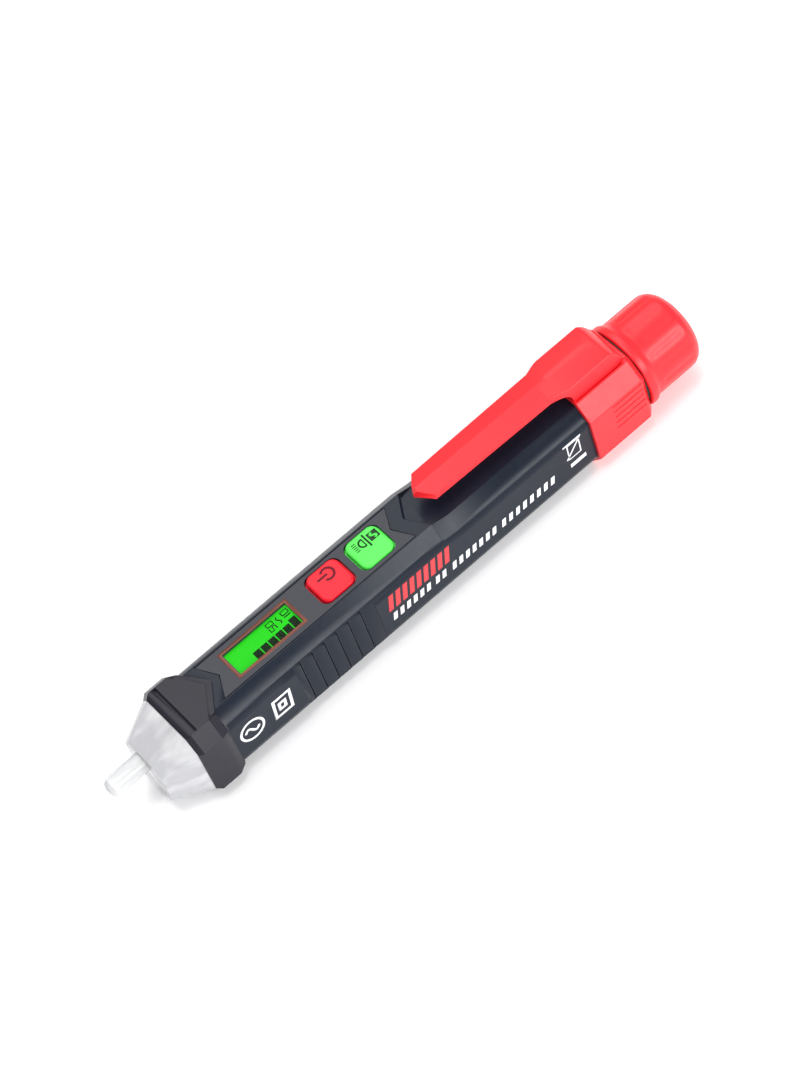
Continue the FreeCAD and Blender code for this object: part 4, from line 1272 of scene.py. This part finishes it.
@dataclass
class Display:
    """Clear window over the lit display, its bars and signs, and a painted glow rim round the window."""

    glass: tuple[float, float, float, float] = (-44.0, -26.45, -3.18, 3.18)
    base: float = 9.43
    face: float = 9.60
    bars: int = 5
    pitch: float = 2.0
    bar: Flat = (1.74, 2.3)
    end_height: float = 2.9
    first: Flat = (-38.15, -3.05)
    cover_top: float = 10.38

    def lit_face(self) -> None:
        """The glowing face under the window."""
        left, right, near, far = self.glass
        face = prism(leaning_box((left, near), (right, far)), Across.Z, self.base, self.face)
        show(face, "display_face", LCD)

    def segments(self) -> None:
        """A row of level bars, a taller end bar, a wave and two pairs of figures."""
        for name, number, count, height in (
            ("level_bars", 0, self.bars, self.bar[1]), ("end_bar", self.bars, 1, self.end_height),
        ):
            row = Row(count, (self.pitch, 0.0, 0.0), (self.bar[0], height, PRINT_THICKNESS))
            place = at(self.first[0] + number * self.pitch, self.first[1] + height / 2, self.face)
            lay(row, name, SEGMENT, place)
        figures = Print(0.28, [
            wave((-30.3, 0.3), 2.0, 0.30, True),
            self.figure(-33.1, 0.1, "5"), self.figure(-33.1, 1.45, "0"),
            self.figure(-29.1, 0.1, "1"), self.figure(-29.1, 1.45, "0"),
        ])
        lay(figures, "display_figures", SEGMENT, on_top(self.face))

    @staticmethod
    def figure(top: float, start: float, digit: str) -> list[Flat]:
        """A digit that reads across the pen, its top towards the tip."""
        strokes = {
            "0": [(0.0, 0.0), (0.0, 1.0), (1.6, 1.0), (1.6, 0.0), (0.05, 0.0)],
            "1": [(0.0, 0.8), (1.6, 0.8)],
            "5": [(0.0, 1.0), (0.0, 0.0), (0.8, 0.0), (0.8, 1.0), (1.6, 1.0), (1.6, 0.0)],
        }
        return [(top + down, start + along) for down, along in strokes[digit]]

    def build(self) -> None:
        """Makes the window, the face and the painted glow rim round the window."""
        show(copy_of("lcd_window"), "display_window", WINDOW, node="lcd_window")
        self.lit_face()
        self.segments()
        # A thin warm band round the window: painted glow of the backlight, not a printed line.
        glow_rim = Print(1.0, (), [leaning_box((-44.32, -3.54), (-26.62, 3.54))])
        lay(glow_rim, "painted_window_glow", PAINTED_GLOW_RIM, on_top(self.cover_top))


def dress_carried_nodes() -> None:
    """Gives every frame node that stays its finish."""
    for finish, nodes in CARRIED_NODES.items():
        for node in nodes:
            dress(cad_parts[node], finish)


def main() -> None:
    """Builds the tester, then the studio."""
    logging.basicConfig(level=logging.INFO, format="%(name)s %(message)s")
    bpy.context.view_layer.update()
    dress_carried_nodes()
    for assembly in (Nose(), Tube(), Marks(), Display(), Keys(), ClipEnd(), ScrewCap()):
        assembly.build()
    Studio().build()


if __name__ == "__main__":
    main()
